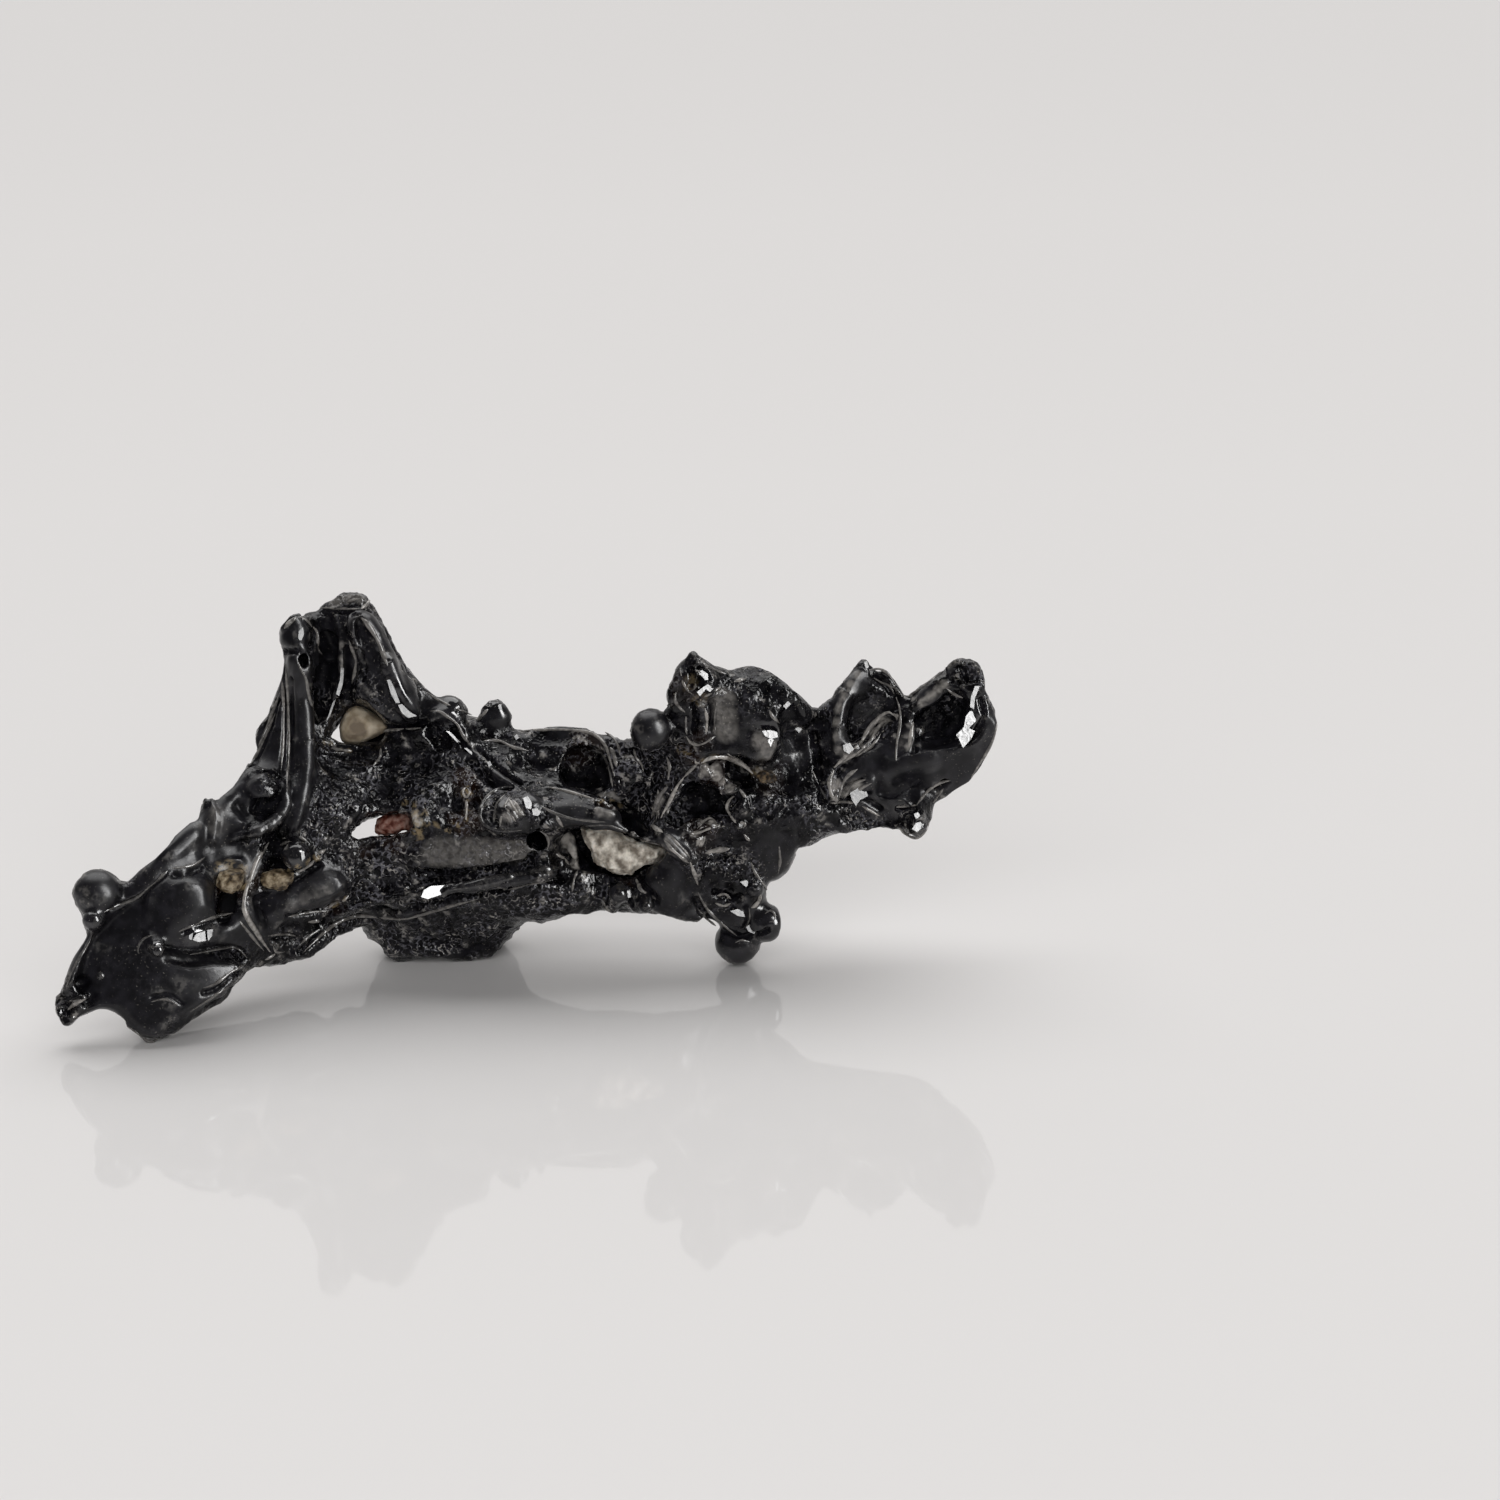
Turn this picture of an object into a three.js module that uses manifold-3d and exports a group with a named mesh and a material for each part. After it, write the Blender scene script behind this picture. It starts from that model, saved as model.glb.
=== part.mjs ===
// Irghizite: a small ropy splash form of black impact glass, with mineral grains caught in its pockets.
// Millimetres, +Z up. +X runs along the splash from the wing to the curled lobe, and -Y is its front.
// The melt froze as one piece, so the glass is one solid; each grain is a solid of its own.

import * as THREE from 'three';
import { ConvexGeometry } from 'three/addons/geometries/ConvexGeometry.js';
import { ImprovedNoise } from 'three/addons/math/ImprovedNoise.js';
import { edgeTable, triTable } from 'three/addons/objects/MarchingCubes.js';
import { mergeVertices } from 'three/addons/utils/BufferGeometryUtils.js';
import Module from 'manifold-3d';

// ---- driving dimensions ----

const cell = 0.48;               // the facets of the glass are about this long
const meltBlend = 0.45;          // reach over which one limb of melt runs into the next
const hollowBlend = 0.2;         // hollows have crisper lips than that
const grainClearance = 0.06;     // gap all round a grain in its pocket
const ripple = { height: 0.1, length: 1.15 };      // low lumps over the whole surface
const bounds = { low: [-8.6, -5.2, -0.8], high: [12.6, 3.4, 8.8] };
const windowTilt = -0.34;        // windows run from the front down towards the back, in radians

const glassLook = { color: 0x1f1e23, roughness: 0.28, metalness: 0 };

// ---- limbs and lumps of the melt ----
// A limb's path holds x, y, z and the radius there; deep is its depth along Y over its height.

const wing = {
  limbs: [
    { name: 'crest', deep: 1, path: [
      [-3.3, -0.6, 4.2, 0.75], [-4.55, -1.8, 3.45, 0.72], [-5.8, -2.6, 2.85, 0.62],
      [-6.65, -3.2, 2.1, 0.52], [-7.2, -3.7, 1.2, 0.42], [-7.45, -3.82, 0.85, 0.36]] },
    { name: 'belly', deep: 0.85, path: [
      [-2.55, -0.5, 2.45, 1.1], [-4.1, -1.6, 2.25, 0.95], [-5.25, -2.6, 1.95, 0.88],
      [-6.2, -3.25, 1.6, 0.7], [-6.7, -3.5, 1.2, 0.5]] },
    { name: 'hem', deep: 0.9, path: [
      [-3.0, -0.9, 1.15, 0.55], [-4.2, -1.7, 1.05, 0.58], [-5.1, -2.8, 0.85, 0.6],
      [-5.75, -3.6, 0.55, 0.5], [-5.8, -3.75, 0.26, 0.4]] },
  ],
  lumps: [
    { name: 'satin bulge', at: [-5.1, -2.95, 2.6], size: [0.75, 0.5, 0.6], tilt: 0.5 },
    { name: 'knob by the peak', at: [-3.62, -0.95, 4.35], size: [0.42, 0.42, 0.42] },
    { name: 'nub on the crest', at: [-4.6, -1.55, 4.2], size: [0.26, 0.26, 0.36] },
    { name: 'toe of the foot', at: [-5.85, -3.62, 0.55], size: [0.52, 0.4, 0.38] },
  ],
  hollows: [
    { name: 'droplet socket', at: [-2.95, -1.75, 3.3], size: [0.55, 0.5, 0.4] },
  ],
};

const peak = {
  limbs: [
    { name: 'left column', deep: 1, path: [
      [-2.87, 0.3, 7.4, 0.38], [-2.97, 0.2, 6.1, 0.46], [-3.2, 0, 5.1, 0.62],
      [-3.2, -0.2, 4.35, 0.68], [-3.25, -0.7, 3, 0.85]] },
    { name: 'right column', deep: 1, path: [
      [-1.78, 1.1, 7.5, 0.56], [-1.5, 1.05, 6.87, 0.55], [-1.2, 0.95, 6.25, 0.58],
      [-0.73, 0.8, 5.5, 0.62], [0, 0.7, 4.85, 0.6]] },
    { name: 'web', deep: 1, path: [
      [-2.44, 1.05, 7.3, 0.36], [-2.2, 1.3, 5.9, 0.55], [-2, 0.8, 4.5, 0.8]] },
    { name: 'web behind the left column', deep: 1, path: [
      [-2.65, 0.85, 7, 0.3], [-2.65, 0.95, 5.9, 0.42], [-2.75, 0.6, 4.8, 0.5]] },
  ],
  lumps: [
    { name: 'nub on the left flank', at: [-3.62, -0.2, 5.3], size: [0.26, 0.26, 0.32] },
  ],
  hollows: [
    { name: 'groove between the columns', at: [-2.35, 0.1, 6.3], size: [0.3, 0.6, 0.95] },
  ],
};

const middle = {
  limbs: [
    { name: 'core', deep: 1.15, path: [
      [-2.6, 0.2, 3.6, 1.15], [-0.5, 0.4, 3.65, 1.2], [1.2, 0.4, 3.5, 1.15], [2.3, 0.4, 3.3, 0.95]] },
    { name: 'lower core', deep: 1.15, path: [
      [-2, 0, 2.3, 0.95], [-0.9, 0.2, 2.3, 1], [1.9, 0.2, 1.98, 1], [2.5, 0.1, 1.92, 0.76]] },
    { name: 'top ridge', deep: 1, path: [
      [-0.2, 0.6, 5.05, 0.48], [0.6, 0.55, 4.65, 0.48], [1.25, 0.8, 4.55, 0.5],
      [2.5, 0.7, 4.48, 0.52], [3.65, 0.6, 4.28, 0.58]] },
    { name: 'convex band', deep: 1, path: [[-0.4, -0.8, 3, 0.5], [1.9, -0.8, 2.95, 0.45]] },
    { name: 'skirt wall', deep: 1, path: [[-1.3, 0.35, 1.4, 0.62], [0.9, 0.4, 1.4, 0.62]] },
    { name: 'skirt edge', deep: 1, path: [
      [-1.55, 0.15, 0.9, 0.38], [-1.1, 0.45, 0.5, 0.54], [0.65, 0.55, 0.48, 0.54], [1.2, 0.4, 0.7, 0.3]] },
    { name: 'skirt heel', deep: 1, path: [[-0.9, 1, 0.6, 0.66], [0.9, 1.1, 0.55, 0.64]] },
    { name: 'heel wall', deep: 1, path: [[-0.6, 1.1, 1.6, 0.8], [0.8, 1.2, 1.6, 0.8]] },
  ],
  lumps: [
    { name: 'curled knob', at: [1.6, -1.2, 3.85], size: [0.66, 0.55, 0.46] },
    { name: 'lump left of the slot', at: [-2.1, -0.75, 3.9], size: [0.5, 0.5, 0.45] },
    { name: 'lump above the slot', at: [-0.1, -0.85, 3.95], size: [0.6, 0.45, 0.4] },
  ],
  hollows: [
    { name: 'hollow below the ridge', at: [-0.95, -0.85, 4.35], size: [0.65, 0.45, 0.5] },
  ],
};

const waist = {
  limbs: [
    { name: 'upper limb', deep: 1, path: [[3.3, 0.5, 4.1, 0.68], [5, 0.35, 4.1, 0.8]] },
    { name: 'strap', deep: 1, path: [
      [2.2, -0.75, 3.7, 0.42], [3.35, -0.85, 3.72, 0.34], [4.2, -0.95, 3.25, 0.3], [5.2, -0.85, 2.65, 0.34]] },
    { name: 'lower limb', deep: 1, path: [
      [2.45, 0, 1.95, 0.72], [3.7, 0, 1.66, 0.56], [4.65, -0.1, 1.82, 0.64], [5.4, -0.15, 1.55, 0.5], [6.1, -0.1, 1.6, 0.45]] },
    { name: 'back wall', deep: 1, path: [[2.4, 1, 2.8, 0.8], [3.7, 1.1, 2.7, 0.7], [5.2, 0.9, 2.9, 0.8]] },
  ],
  lumps: [
    { name: 'smooth blob', at: [4.65, -0.45, 2], size: [0.62, 0.5, 0.55] },
    { name: 'joint with the right body', at: [5.7, 0.1, 2.4], size: [0.7, 0.7, 0.6] },
  ],
  hollows: [],
};

const rightBody = {
  limbs: [
    { name: 'core', deep: 1.1, path: [
      [5.4, 0.2, 3.6, 1.1], [7.1, 0.3, 3.5, 1], [8.6, 0.4, 3.65, 0.85], [9.85, 0.3, 3.7, 0.7]] },
    { name: 'drip root', deep: 1, path: [[6.7, 0.1, 2.6, 0.8], [6.3, -0.15, 1.7, 0.5], [6.25, -0.25, 1, 0.42]] },
    { name: 'turret', deep: 1, path: [[5.3, -0.3, 5, 0.5], [5.24, -0.35, 6, 0.42], [5.34, -0.35, 6.5, 0.46]] },
    { name: 'collar of the hump', deep: 1, path: [[5.6, -0.2, 6.2, 0.36], [6.3, 0.1, 6.15, 0.34]] },
    { name: 'saddle', deep: 1, path: [[7, 0.5, 4.9, 0.6], [8.3, 0.8, 4.85, 0.5]] },
  ],
  lumps: [
    { name: 'hump', at: [6.55, 0.15, 5.5], size: [1.08, 0.95, 0.98] },
    { name: 'chin', at: [7, 0, 2.4], size: [0.45, 0.5, 0.4] },
  ],
  hollows: [
    { name: 'hollow beside the hump', at: [7.7, -0.5, 5.1], size: [0.35, 0.6, 0.5] },
  ],
};

const lobes = {
  limbs: [
    { name: 'third lobe', deep: 0.8, path: [
      [8.9, 0.75, 6.12, 0.26], [8.85, 0.72, 5.6, 0.62], [8.7, 0.6, 4.85, 0.95], [8.7, 0.5, 4.1, 0.9]] },
    { name: 'curled lobe', deep: 0.75, path: [
      [10.95, 0.5, 6.08, 0.42], [10.6, 0.5, 5.35, 0.9], [10.3, 0.4, 4.6, 0.95], [9.9, 0.3, 3.95, 0.8]] },
    { name: 'outer rim', deep: 1, path: [[11.2, 0.35, 6, 0.3], [11.45, 0.3, 5.1, 0.32], [10.9, 0.25, 4.3, 0.36]] },
    { name: 'glossy nub', deep: 1, path: [[9.7, 0, 3.4, 0.4], [9.89, -0.42, 3.27, 0.35]] },
  ],
  lumps: [
    { name: 'shoulder of the third lobe', at: [9.3, 0.75, 5.75], size: [0.36, 0.4, 0.42], tilt: 0.5 },
  ],
  hollows: [
    { name: 'valley between lobes', at: [9.82, -0.3, 5.95], size: [0.28, 0.9, 0.45] },
  ],
};

const back = {
  limbs: [
    { name: 'rib', deep: 1, path: [
      [-3.6, 0.1, 3.2, 0.7], [-1.5, 1.4, 3.4, 0.9], [1, 1.75, 3.1, 0.85],
      [3.4, 1.5, 3.2, 0.7], [6, 1.25, 3.6, 0.8], [8.6, 1.1, 3.9, 0.6]] },
    { name: 'spur', deep: 1, path: [[0.9, 1.9, 2.9, 0.6], [1.5, 2.35, 1.9, 0.34]] },
    { name: 'high fold', deep: 1, path: [[-0.9, 1.6, 4.9, 0.45], [0.9, 1.8, 4.5, 0.4], [2.4, 1.5, 4.2, 0.4]] },
  ],
  lumps: [],
  hollows: [
    { name: 'hollow under the high fold', at: [0.1, 2.5, 4], size: [0.9, 0.55, 0.35] },
    { name: 'hollow in the waist', at: [3, 2.2, 2.5], size: [0.7, 0.6, 0.5], tilt: 0.3 },
    { name: 'hollow in the right body', at: [7.2, 1.5, 4.4], size: [0.7, 0.5, 0.4] },
    { name: 'hollow in the wing', at: [-4.6, -0.9, 2.3], size: [0.9, 0.5, 0.5], tilt: 0.4 },
  ],
};

const regions = [wing, peak, middle, waist, rightBody, lobes, back];

// ---- droplets and beads: x, y, z and radius ----

const droplets = [
  { name: 'big side droplet', at: [-6.88, -2.72, 2.87], radius: 0.53 },
  { name: 'small side droplet', at: [-6.94, -2.9, 2.4], radius: 0.28 },
  { name: 'left bump of the ridge', at: [0.25, 0.5, 5.55], radius: 0.36 },
  { name: 'right bump of the ridge', at: [1.16, 0.9, 5.28], radius: 0.38 },
  { name: 'socketed droplet', at: [-2.86, -1.55, 3.24], radius: 0.32 },
  { name: 'blunt tip of the wing', at: [-7.45, -3.85, 0.66], radius: 0.33 },
  { name: 'bead on the fold', at: [-5.6, -3.62, 2.05], radius: 0.19 },
  { name: 'cap of the left column', at: [-2.87, 0.18, 7.42], radius: 0.4 },
  { name: 'ball left of the turret', at: [4.45, -0.2, 5.3], radius: 0.48 },
  { name: 'turret head', at: [5.36, -0.45, 6.5], radius: 0.5 },
  { name: 'lower drip ball', at: [6.17, -0.2, 0.45], radius: 0.49 },
  { name: 'upper drip ball', at: [6.72, -0.35, 0.98], radius: 0.4 },
  { name: 'drip bead', at: [6.56, -0.6, 1.9], radius: 0.17 },
  { name: 'hanging bead', at: [4.13, -0.5, 1.55], radius: 0.27 },
  { name: 'smaller hanging bead', at: [3.87, -0.62, 1.85], radius: 0.19 },
  { name: 'tip of the third lobe', at: [8.9, 0.75, 6.3], radius: 0.16 },
  { name: 'bead under the nub', at: [9.95, -0.62, 3.2], radius: 0.22 },
  { name: 'bead on the back rib', at: [2.2, 2.3, 3.35], radius: 0.32 },
  { name: 'ball on the back of the middle', at: [-1.3, 2, 2.9], radius: 0.42 },
  { name: 'ball on the back of the right body', at: [7.2, 1.3, 3.1], radius: 0.36 },
  { name: 'ball on the back of the wing', at: [-5.1, -1.5, 2.6], radius: 0.32 },
  { name: 'bead on the back of the peak', at: [-1.9, 1.7, 6], radius: 0.28 },
];

// ---- threads and folds drawn out of the melt, each a bent rod that lies half sunk in the surface ----

const threads = [
  { name: 'hanging thread', radius: 0.09, path: [
    [-3.43, -1.7, 3.38], [-3.7, -2.15, 2.96], [-3.94, -2.5, 2.6], [-3.88, -2.5, 2.3], [-3.65, -2.15, 1.53],
    [-3.5, -1.9, 1.1]] },
  { name: 'long fold', radius: 0.17, path: [
    [-2.33, -1.1, 1.64], [-1.7, -1.1, 1.84], [-0.3, -1.33, 2.2], [1.26, -1.3, 2.35], [2.4, -1.1, 2.5]] },
  { name: 'peak ridge', radius: 0.09, path: [
    [-3.03, -0.17, 6.95], [-3.07, -0.27, 6.1], [-3.11, -0.8, 5], [-3.03, -1.38, 4.3], [-2.95, -1.5, 3.7]] },
  { name: 'window ridge', radius: 0.1, path: [
    [-1.97, 0.5, 7.1], [-2.01, 0.45, 6.3], [-2.3, 0.38, 5.5], [-2.45, 0.3, 4.9]] },
  { name: 'slanting ridge', radius: 0.11, path: [
    [0.3, 0.2, 5.3], [0.86, 0.02, 4.8], [1.5, -0.6, 4.27], [2.24, -1.05, 4], [3, -1.1, 3.9]] },
  { name: 'lip of the wing fold', radius: 0.11, path: [
    [-5.72, -3.48, 2.2], [-5.04, -3.4, 1.97], [-4.49, -2.98, 1.9], [-4.01, -2.6, 2.05]] },
  { name: 'waist strap', radius: 0.13, path: [
    [2.24, -1.2, 3.85], [3.37, -1.15, 3.65], [4.3, -1.05, 3.2], [5.22, -1.08, 2.75], [5.5, -1, 2.1]] },
  { name: 'rim of the third lobe', radius: 0.1, path: [
    [8.86, 0.6, 6.2], [8.51, 0.25, 5.7], [8.32, 0, 5], [8.45, -0.2, 4.3]] },
  { name: 'rim of the curled lobe', radius: 0.1, path: [
    [11.35, 0.1, 6.05], [11.55, 0.05, 5.3], [11.3, 0, 4.4], [10.8, -0.25, 3.85]] },
  { name: 'back rope', radius: 0.17, path: [
    [-3.4, 1.15, 3.8], [-2.4, 1.62, 4.2], [-1, 2.08, 4.05], [0.5, 1.98, 4], [1.6, 2.45, 3.45],
    [2.6, 2.25, 3.1], [3.6, 2.15, 3.4], [4.8, 2.08, 3.8]] },
  { name: 'back strand', radius: 0.13, path: [
    [6, 1.6, 4.4], [7, 1.2, 4.75], [8, 1.72, 4.2], [9, 1.38, 4.6], [10, 1.08, 4.3]] },
  { name: 'arch rim', radius: 0.12, path: [
    [5.35, -0.7, 4.75], [5.55, -0.78, 5.02], [6.1, -0.72, 5], [6.55, -0.78, 4.85], [6.95, -0.75, 4.62]] },
];

// ---- windows and pockets: outline in x and z about the centre, cut along the window axis ----

const windows = [
  { name: 'peak window', at: [-1.75, 0.7, 5.2], reach: 2.2, outline: [
    [-0.66, -0.3], [-0.21, 0.33], [0.02, 0.38], [0.64, -0.04], [0.36, -0.16], [-0.04, -0.34]] },
  { name: 'slot', at: [-1.3, 0.3, 3.1], reach: 2.4, outline: [
    [-0.62, -0.25], [-0.62, -0.06], [-0.31, 0.17], [0, 0.25], [0.52, 0.28], [0.68, 0.08], [0.5, -0.13], [0, -0.2]] },
  { name: 'waist pocket', at: [3.62, -0.9, 3.0], reach: 1.1, outline: [
    [-1.15, -0.3], [-1.1, 0.25], [-0.75, 0.42], [0, 0.42], [0.55, 0.15], [1.1, 0],
    [1, -0.22], [0.4, -0.5], [-0.3, -0.48], [-0.75, -0.48]] },
  { name: 'ridge pocket', at: [3.05, -0.35, 4.5], reach: 0.9, outline: [
    [-0.52, -0.1], [-0.42, 0.4], [0.1, 0.5], [0.45, 0.38], [0.6, -0.3], [0.45, -0.5], [-0.2, -0.46]] },
];

// ---- caves with crisp lips: ellipsoids about their centres ----

const caves = [
  { name: 'cave under the arch', at: [6.3, -0.85, 4.55], size: [0.5, 0.8, 0.3], tilt: 0.3 },
  { name: 'big cave', at: [5.62, -1, 3.85], size: [0.62, 0.9, 0.42], tilt: -0.2 },
  { name: 'wing cleft', at: [-4.3, -2.55, 2.5], size: [0.22, 0.45, 0.55], tilt: 0.15 },
  { name: 'scoop of the third lobe', at: [9.02, 0, 5.4], size: [0.46, 0.5, 0.66], tilt: -0.15 },
  { name: 'scoop of the curled lobe', at: [10.52, -0.08, 5.4], size: [0.55, 0.55, 0.8], tilt: 0.35 },
  { name: 'back cave of the waist', at: [3.3, 1.95, 2.55], size: [0.6, 0.6, 0.38], tilt: 0.2 },
  { name: 'back cave of the middle', at: [-2.6, 1.35, 2.8], size: [0.4, 0.5, 0.5], tilt: 0 },
  { name: 'knob pit', at: [1.98, -1.3, 3.25], size: [0.22, 0.45, 0.2], tilt: 0 },
];

// ---- mineral grains, each an irregular faceted chip ----

const grains = [
  { name: 'quartz_grain', at: [3.8, -0.35, 2.72], size: [0.84, 0.5, 0.5], tilt: 0.25, seed: 11,
    color: 0xb2ada0 },
  { name: 'tan_grain', at: [-1.62, 0.72, 5.2], size: [0.5, 0.42, 0.36], tilt: 0.3, seed: 5,
    color: 0xafa293 },
  { name: 'red_grain', at: [-0.98, -0.35, 3.3], size: [0.33, 0.36, 0.22], tilt: 0, seed: 8,
    color: 0x6a4336 },
  { name: 'ochre_grain_left', at: [-4.2, -2.45, 2.82], size: [0.27, 0.25, 0.27], tilt: 0.2, seed: 3,
    color: 0x796b5d },
  { name: 'ochre_grain_right', at: [-3.35, -1.9, 2.78], size: [0.3, 0.26, 0.21], tilt: -0.2, seed: 9,
    color: 0x7d6a52 },
  { name: 'brown_grain', at: [6.86, -0.82, 4.36], size: [0.2, 0.22, 0.13], tilt: -0.3, seed: 14,
    color: 0x5b4a38 },
];

// ---- solids ----

const wasm = await Module();
wasm.setup();

function toSolid(geometry) {
  const bare = geometry.clone();
  bare.deleteAttribute('normal');
  bare.deleteAttribute('uv');
  const merged = mergeVertices(bare, 1e-5);
  const vertProperties = new Float32Array(merged.attributes.position.array);
  const triVerts = new Uint32Array(merged.index.array);
  return new wasm.Manifold(new wasm.Mesh({ numProp: 3, vertProperties, triVerts }));
}

function toGeometry(solid) {
  const mesh = solid.getMesh();
  const geometry = new THREE.BufferGeometry();
  geometry.setAttribute('position', new THREE.BufferAttribute(new Float32Array(mesh.vertProperties), 3));
  geometry.setIndex(Array.from(mesh.triVerts));
  geometry.computeVertexNormals();
  return geometry;
}

// ---- the melt as a distance field, negative inside the glass ----

function softUnion(a, b, reach) {
  const overlap = Math.max(reach - Math.abs(a - b), 0) / reach;
  return Math.min(a, b) - overlap * overlap * reach / 4;
}

function limbDistance(limb, x, y, z) {
  let nearest = Infinity;
  for (let i = 1; i < limb.path.length; i += 1) {
    const [ax, ay, az, ar] = limb.path[i - 1];
    const [bx, by, bz, br] = limb.path[i];
    const px = x - ax;
    const py = (y - ay) / limb.deep;
    const pz = z - az;
    const dx = bx - ax;
    const dy = (by - ay) / limb.deep;
    const dz = bz - az;
    const along = (px * dx + py * dy + pz * dz) / (dx * dx + dy * dy + dz * dz);
    const t = THREE.MathUtils.clamp(along, 0, 1);
    const away = Math.hypot(px - t * dx, py - t * dy, pz - t * dz);
    nearest = Math.min(nearest, away - ar - t * (br - ar));
  }
  return nearest;
}

function lumpDistance(lump, x, y, z) {
  const [cx, cy, cz] = lump.at;
  const [rx, ry, rz] = lump.size;
  const cosine = Math.cos(lump.tilt ?? 0);
  const sine = Math.sin(lump.tilt ?? 0);
  const px = (x - cx) * cosine - (z - cz) * sine;
  const pz = (x - cx) * sine + (z - cz) * cosine;
  const py = y - cy;
  const scaled = Math.hypot(px / rx, py / ry, pz / rz);
  const slope = Math.hypot(px / rx ** 2, py / ry ** 2, pz / rz ** 2);
  return slope < 1e-6 ? -Math.min(rx, ry, rz) : scaled * (scaled - 1) / slope;
}

const noise = new ImprovedNoise();

function rippleHeight(x, y, z) {
  const s = 1 / ripple.length;
  const broad = noise.noise(x * s + 3.1, y * s + 7.7, z * s + 1.9);
  const fine = noise.noise(x * s * 2.1 + 11.3, y * s * 2.1 + 5.2, z * s * 2.1 + 8.4);
  return ripple.height * (broad + 0.6 * fine);
}

function meltDistance(x, y, z) {
  let distance = Infinity;
  for (const region of regions) {
    for (const limb of region.limbs) {
      distance = softUnion(distance, limbDistance(limb, x, y, z), meltBlend);
    }
    for (const lump of region.lumps) {
      distance = softUnion(distance, lumpDistance(lump, x, y, z), meltBlend);
    }
  }
  for (const region of regions) {
    for (const hollow of region.hollows) {
      distance = -softUnion(-distance, lumpDistance(hollow, x, y, z), hollowBlend);
    }
  }
  return distance + rippleHeight(x, y, z);
}

// ---- the surface of the field, as triangles on a grid of cells ----

const cornerSteps = [
  [0, 0, 0], [1, 0, 0], [1, 1, 0], [0, 1, 0], [0, 0, 1], [1, 0, 1], [1, 1, 1], [0, 1, 1]];
const edgeCorners = [
  [0, 1], [1, 2], [2, 3], [3, 0], [4, 5], [5, 6], [6, 7], [7, 4], [0, 4], [1, 5], [2, 6], [3, 7]];
const leastCut = 0.1;            // a cut stays this share of an edge away from its ends, so no triangle is a sliver
const relaxRounds = 3;           // rounds of evening out the triangles

function polygonise(distanceAt) {
  const counts = bounds.low.map((low, axis) => Math.ceil((bounds.high[axis] - low) / cell) + 1);
  const [nx, ny] = counts;
  const index = (i, j, k) => i + nx * (j + ny * k);
  const place = (i, j, k) => [bounds.low[0] + i * cell, bounds.low[1] + j * cell, bounds.low[2] + k * cell];
  const values = new Float64Array(counts[0] * counts[1] * counts[2]);
  for (let k = 0; k < counts[2]; k += 1) {
    for (let j = 0; j < counts[1]; j += 1) {
      for (let i = 0; i < counts[0]; i += 1) values[index(i, j, k)] = distanceAt(...place(i, j, k));
    }
  }

  const positions = [];
  const triangles = [];
  const cuts = new Map();
  const cutEdge = (a, b) => {
    const ends = [index(...a), index(...b)].sort((p, q) => p - q);
    const key = ends[0] * values.length + ends[1];
    if (!cuts.has(key)) {
      const [va, vb] = [values[index(...a)], values[index(...b)]];
      const t = THREE.MathUtils.clamp(va / (va - vb), leastCut, 1 - leastCut);
      const [pa, pb] = [place(...a), place(...b)];
      cuts.set(key, positions.length / 3);
      positions.push(...pa.map((value, axis) => value + t * (pb[axis] - value)));
    }
    return cuts.get(key);
  };

  for (let k = 0; k < counts[2] - 1; k += 1) {
    for (let j = 0; j < counts[1] - 1; j += 1) {
      for (let i = 0; i < counts[0] - 1; i += 1) {
        const corners = cornerSteps.map(([di, dj, dk]) => [i + di, j + dj, k + dk]);
        let shape = 0;
        corners.forEach((corner, bit) => {
          if (values[index(...corner)] < 0) shape |= 1 << bit;
        });
        if (edgeTable[shape] === 0) continue;
        for (let t = shape * 16; triTable[t] !== -1; t += 3) {
          const face = [0, 1, 2].map((n) => {
            const [from, to] = edgeCorners[triTable[t + n]];
            return cutEdge(corners[from], corners[to]);
          });
          triangles.push(face[0], face[2], face[1]);
        }
      }
    }
  }
  for (let round = 0; round < relaxRounds; round += 1) relax(positions, triangles, distanceAt);
  const geometry = new THREE.BufferGeometry();
  geometry.setAttribute('position', new THREE.BufferAttribute(new Float32Array(positions), 3));
  geometry.setIndex(triangles);
  return geometry;
}

// moves each vertex half way to the middle of its neighbours, then back along the field to the surface
function relax(positions, triangles, distanceAt) {
  const sums = new Float64Array(positions.length);
  const neighbours = new Float64Array(positions.length / 3);
  for (let t = 0; t < triangles.length; t += 3) {
    for (let n = 0; n < 3; n += 1) {
      const from = triangles[t + n];
      const to = triangles[t + (n + 1) % 3];
      neighbours[from] += 1;
      for (let axis = 0; axis < 3; axis += 1) sums[3 * from + axis] += positions[3 * to + axis];
    }
  }
  const probe = cell / 8;
  for (let v = 0; v < neighbours.length; v += 1) {
    const point = [0, 1, 2].map((axis) => 0.5 * (positions[3 * v + axis] + sums[3 * v + axis] / neighbours[v]));
    const distance = distanceAt(...point);
    const slope = [0, 1, 2].map((axis) => {
      const ahead = [...point];
      ahead[axis] += probe;
      return (distanceAt(...ahead) - distance) / probe;
    });
    const steepness = Math.max(slope[0] ** 2 + slope[1] ** 2 + slope[2] ** 2, 0.25);
    const pull = THREE.MathUtils.clamp(distance, -cell / 2, cell / 2) / steepness;
    for (let axis = 0; axis < 3; axis += 1) positions[3 * v + axis] = point[axis] - pull * slope[axis];
  }
}

// ---- droplets, threads, windows and grains ----

function dropletSolid({ at, radius }) {
  const detail = radius > 0.45 ? 2 : 1;
  return toSolid(new THREE.IcosahedronGeometry(radius, detail).translate(...at));
}

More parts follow.
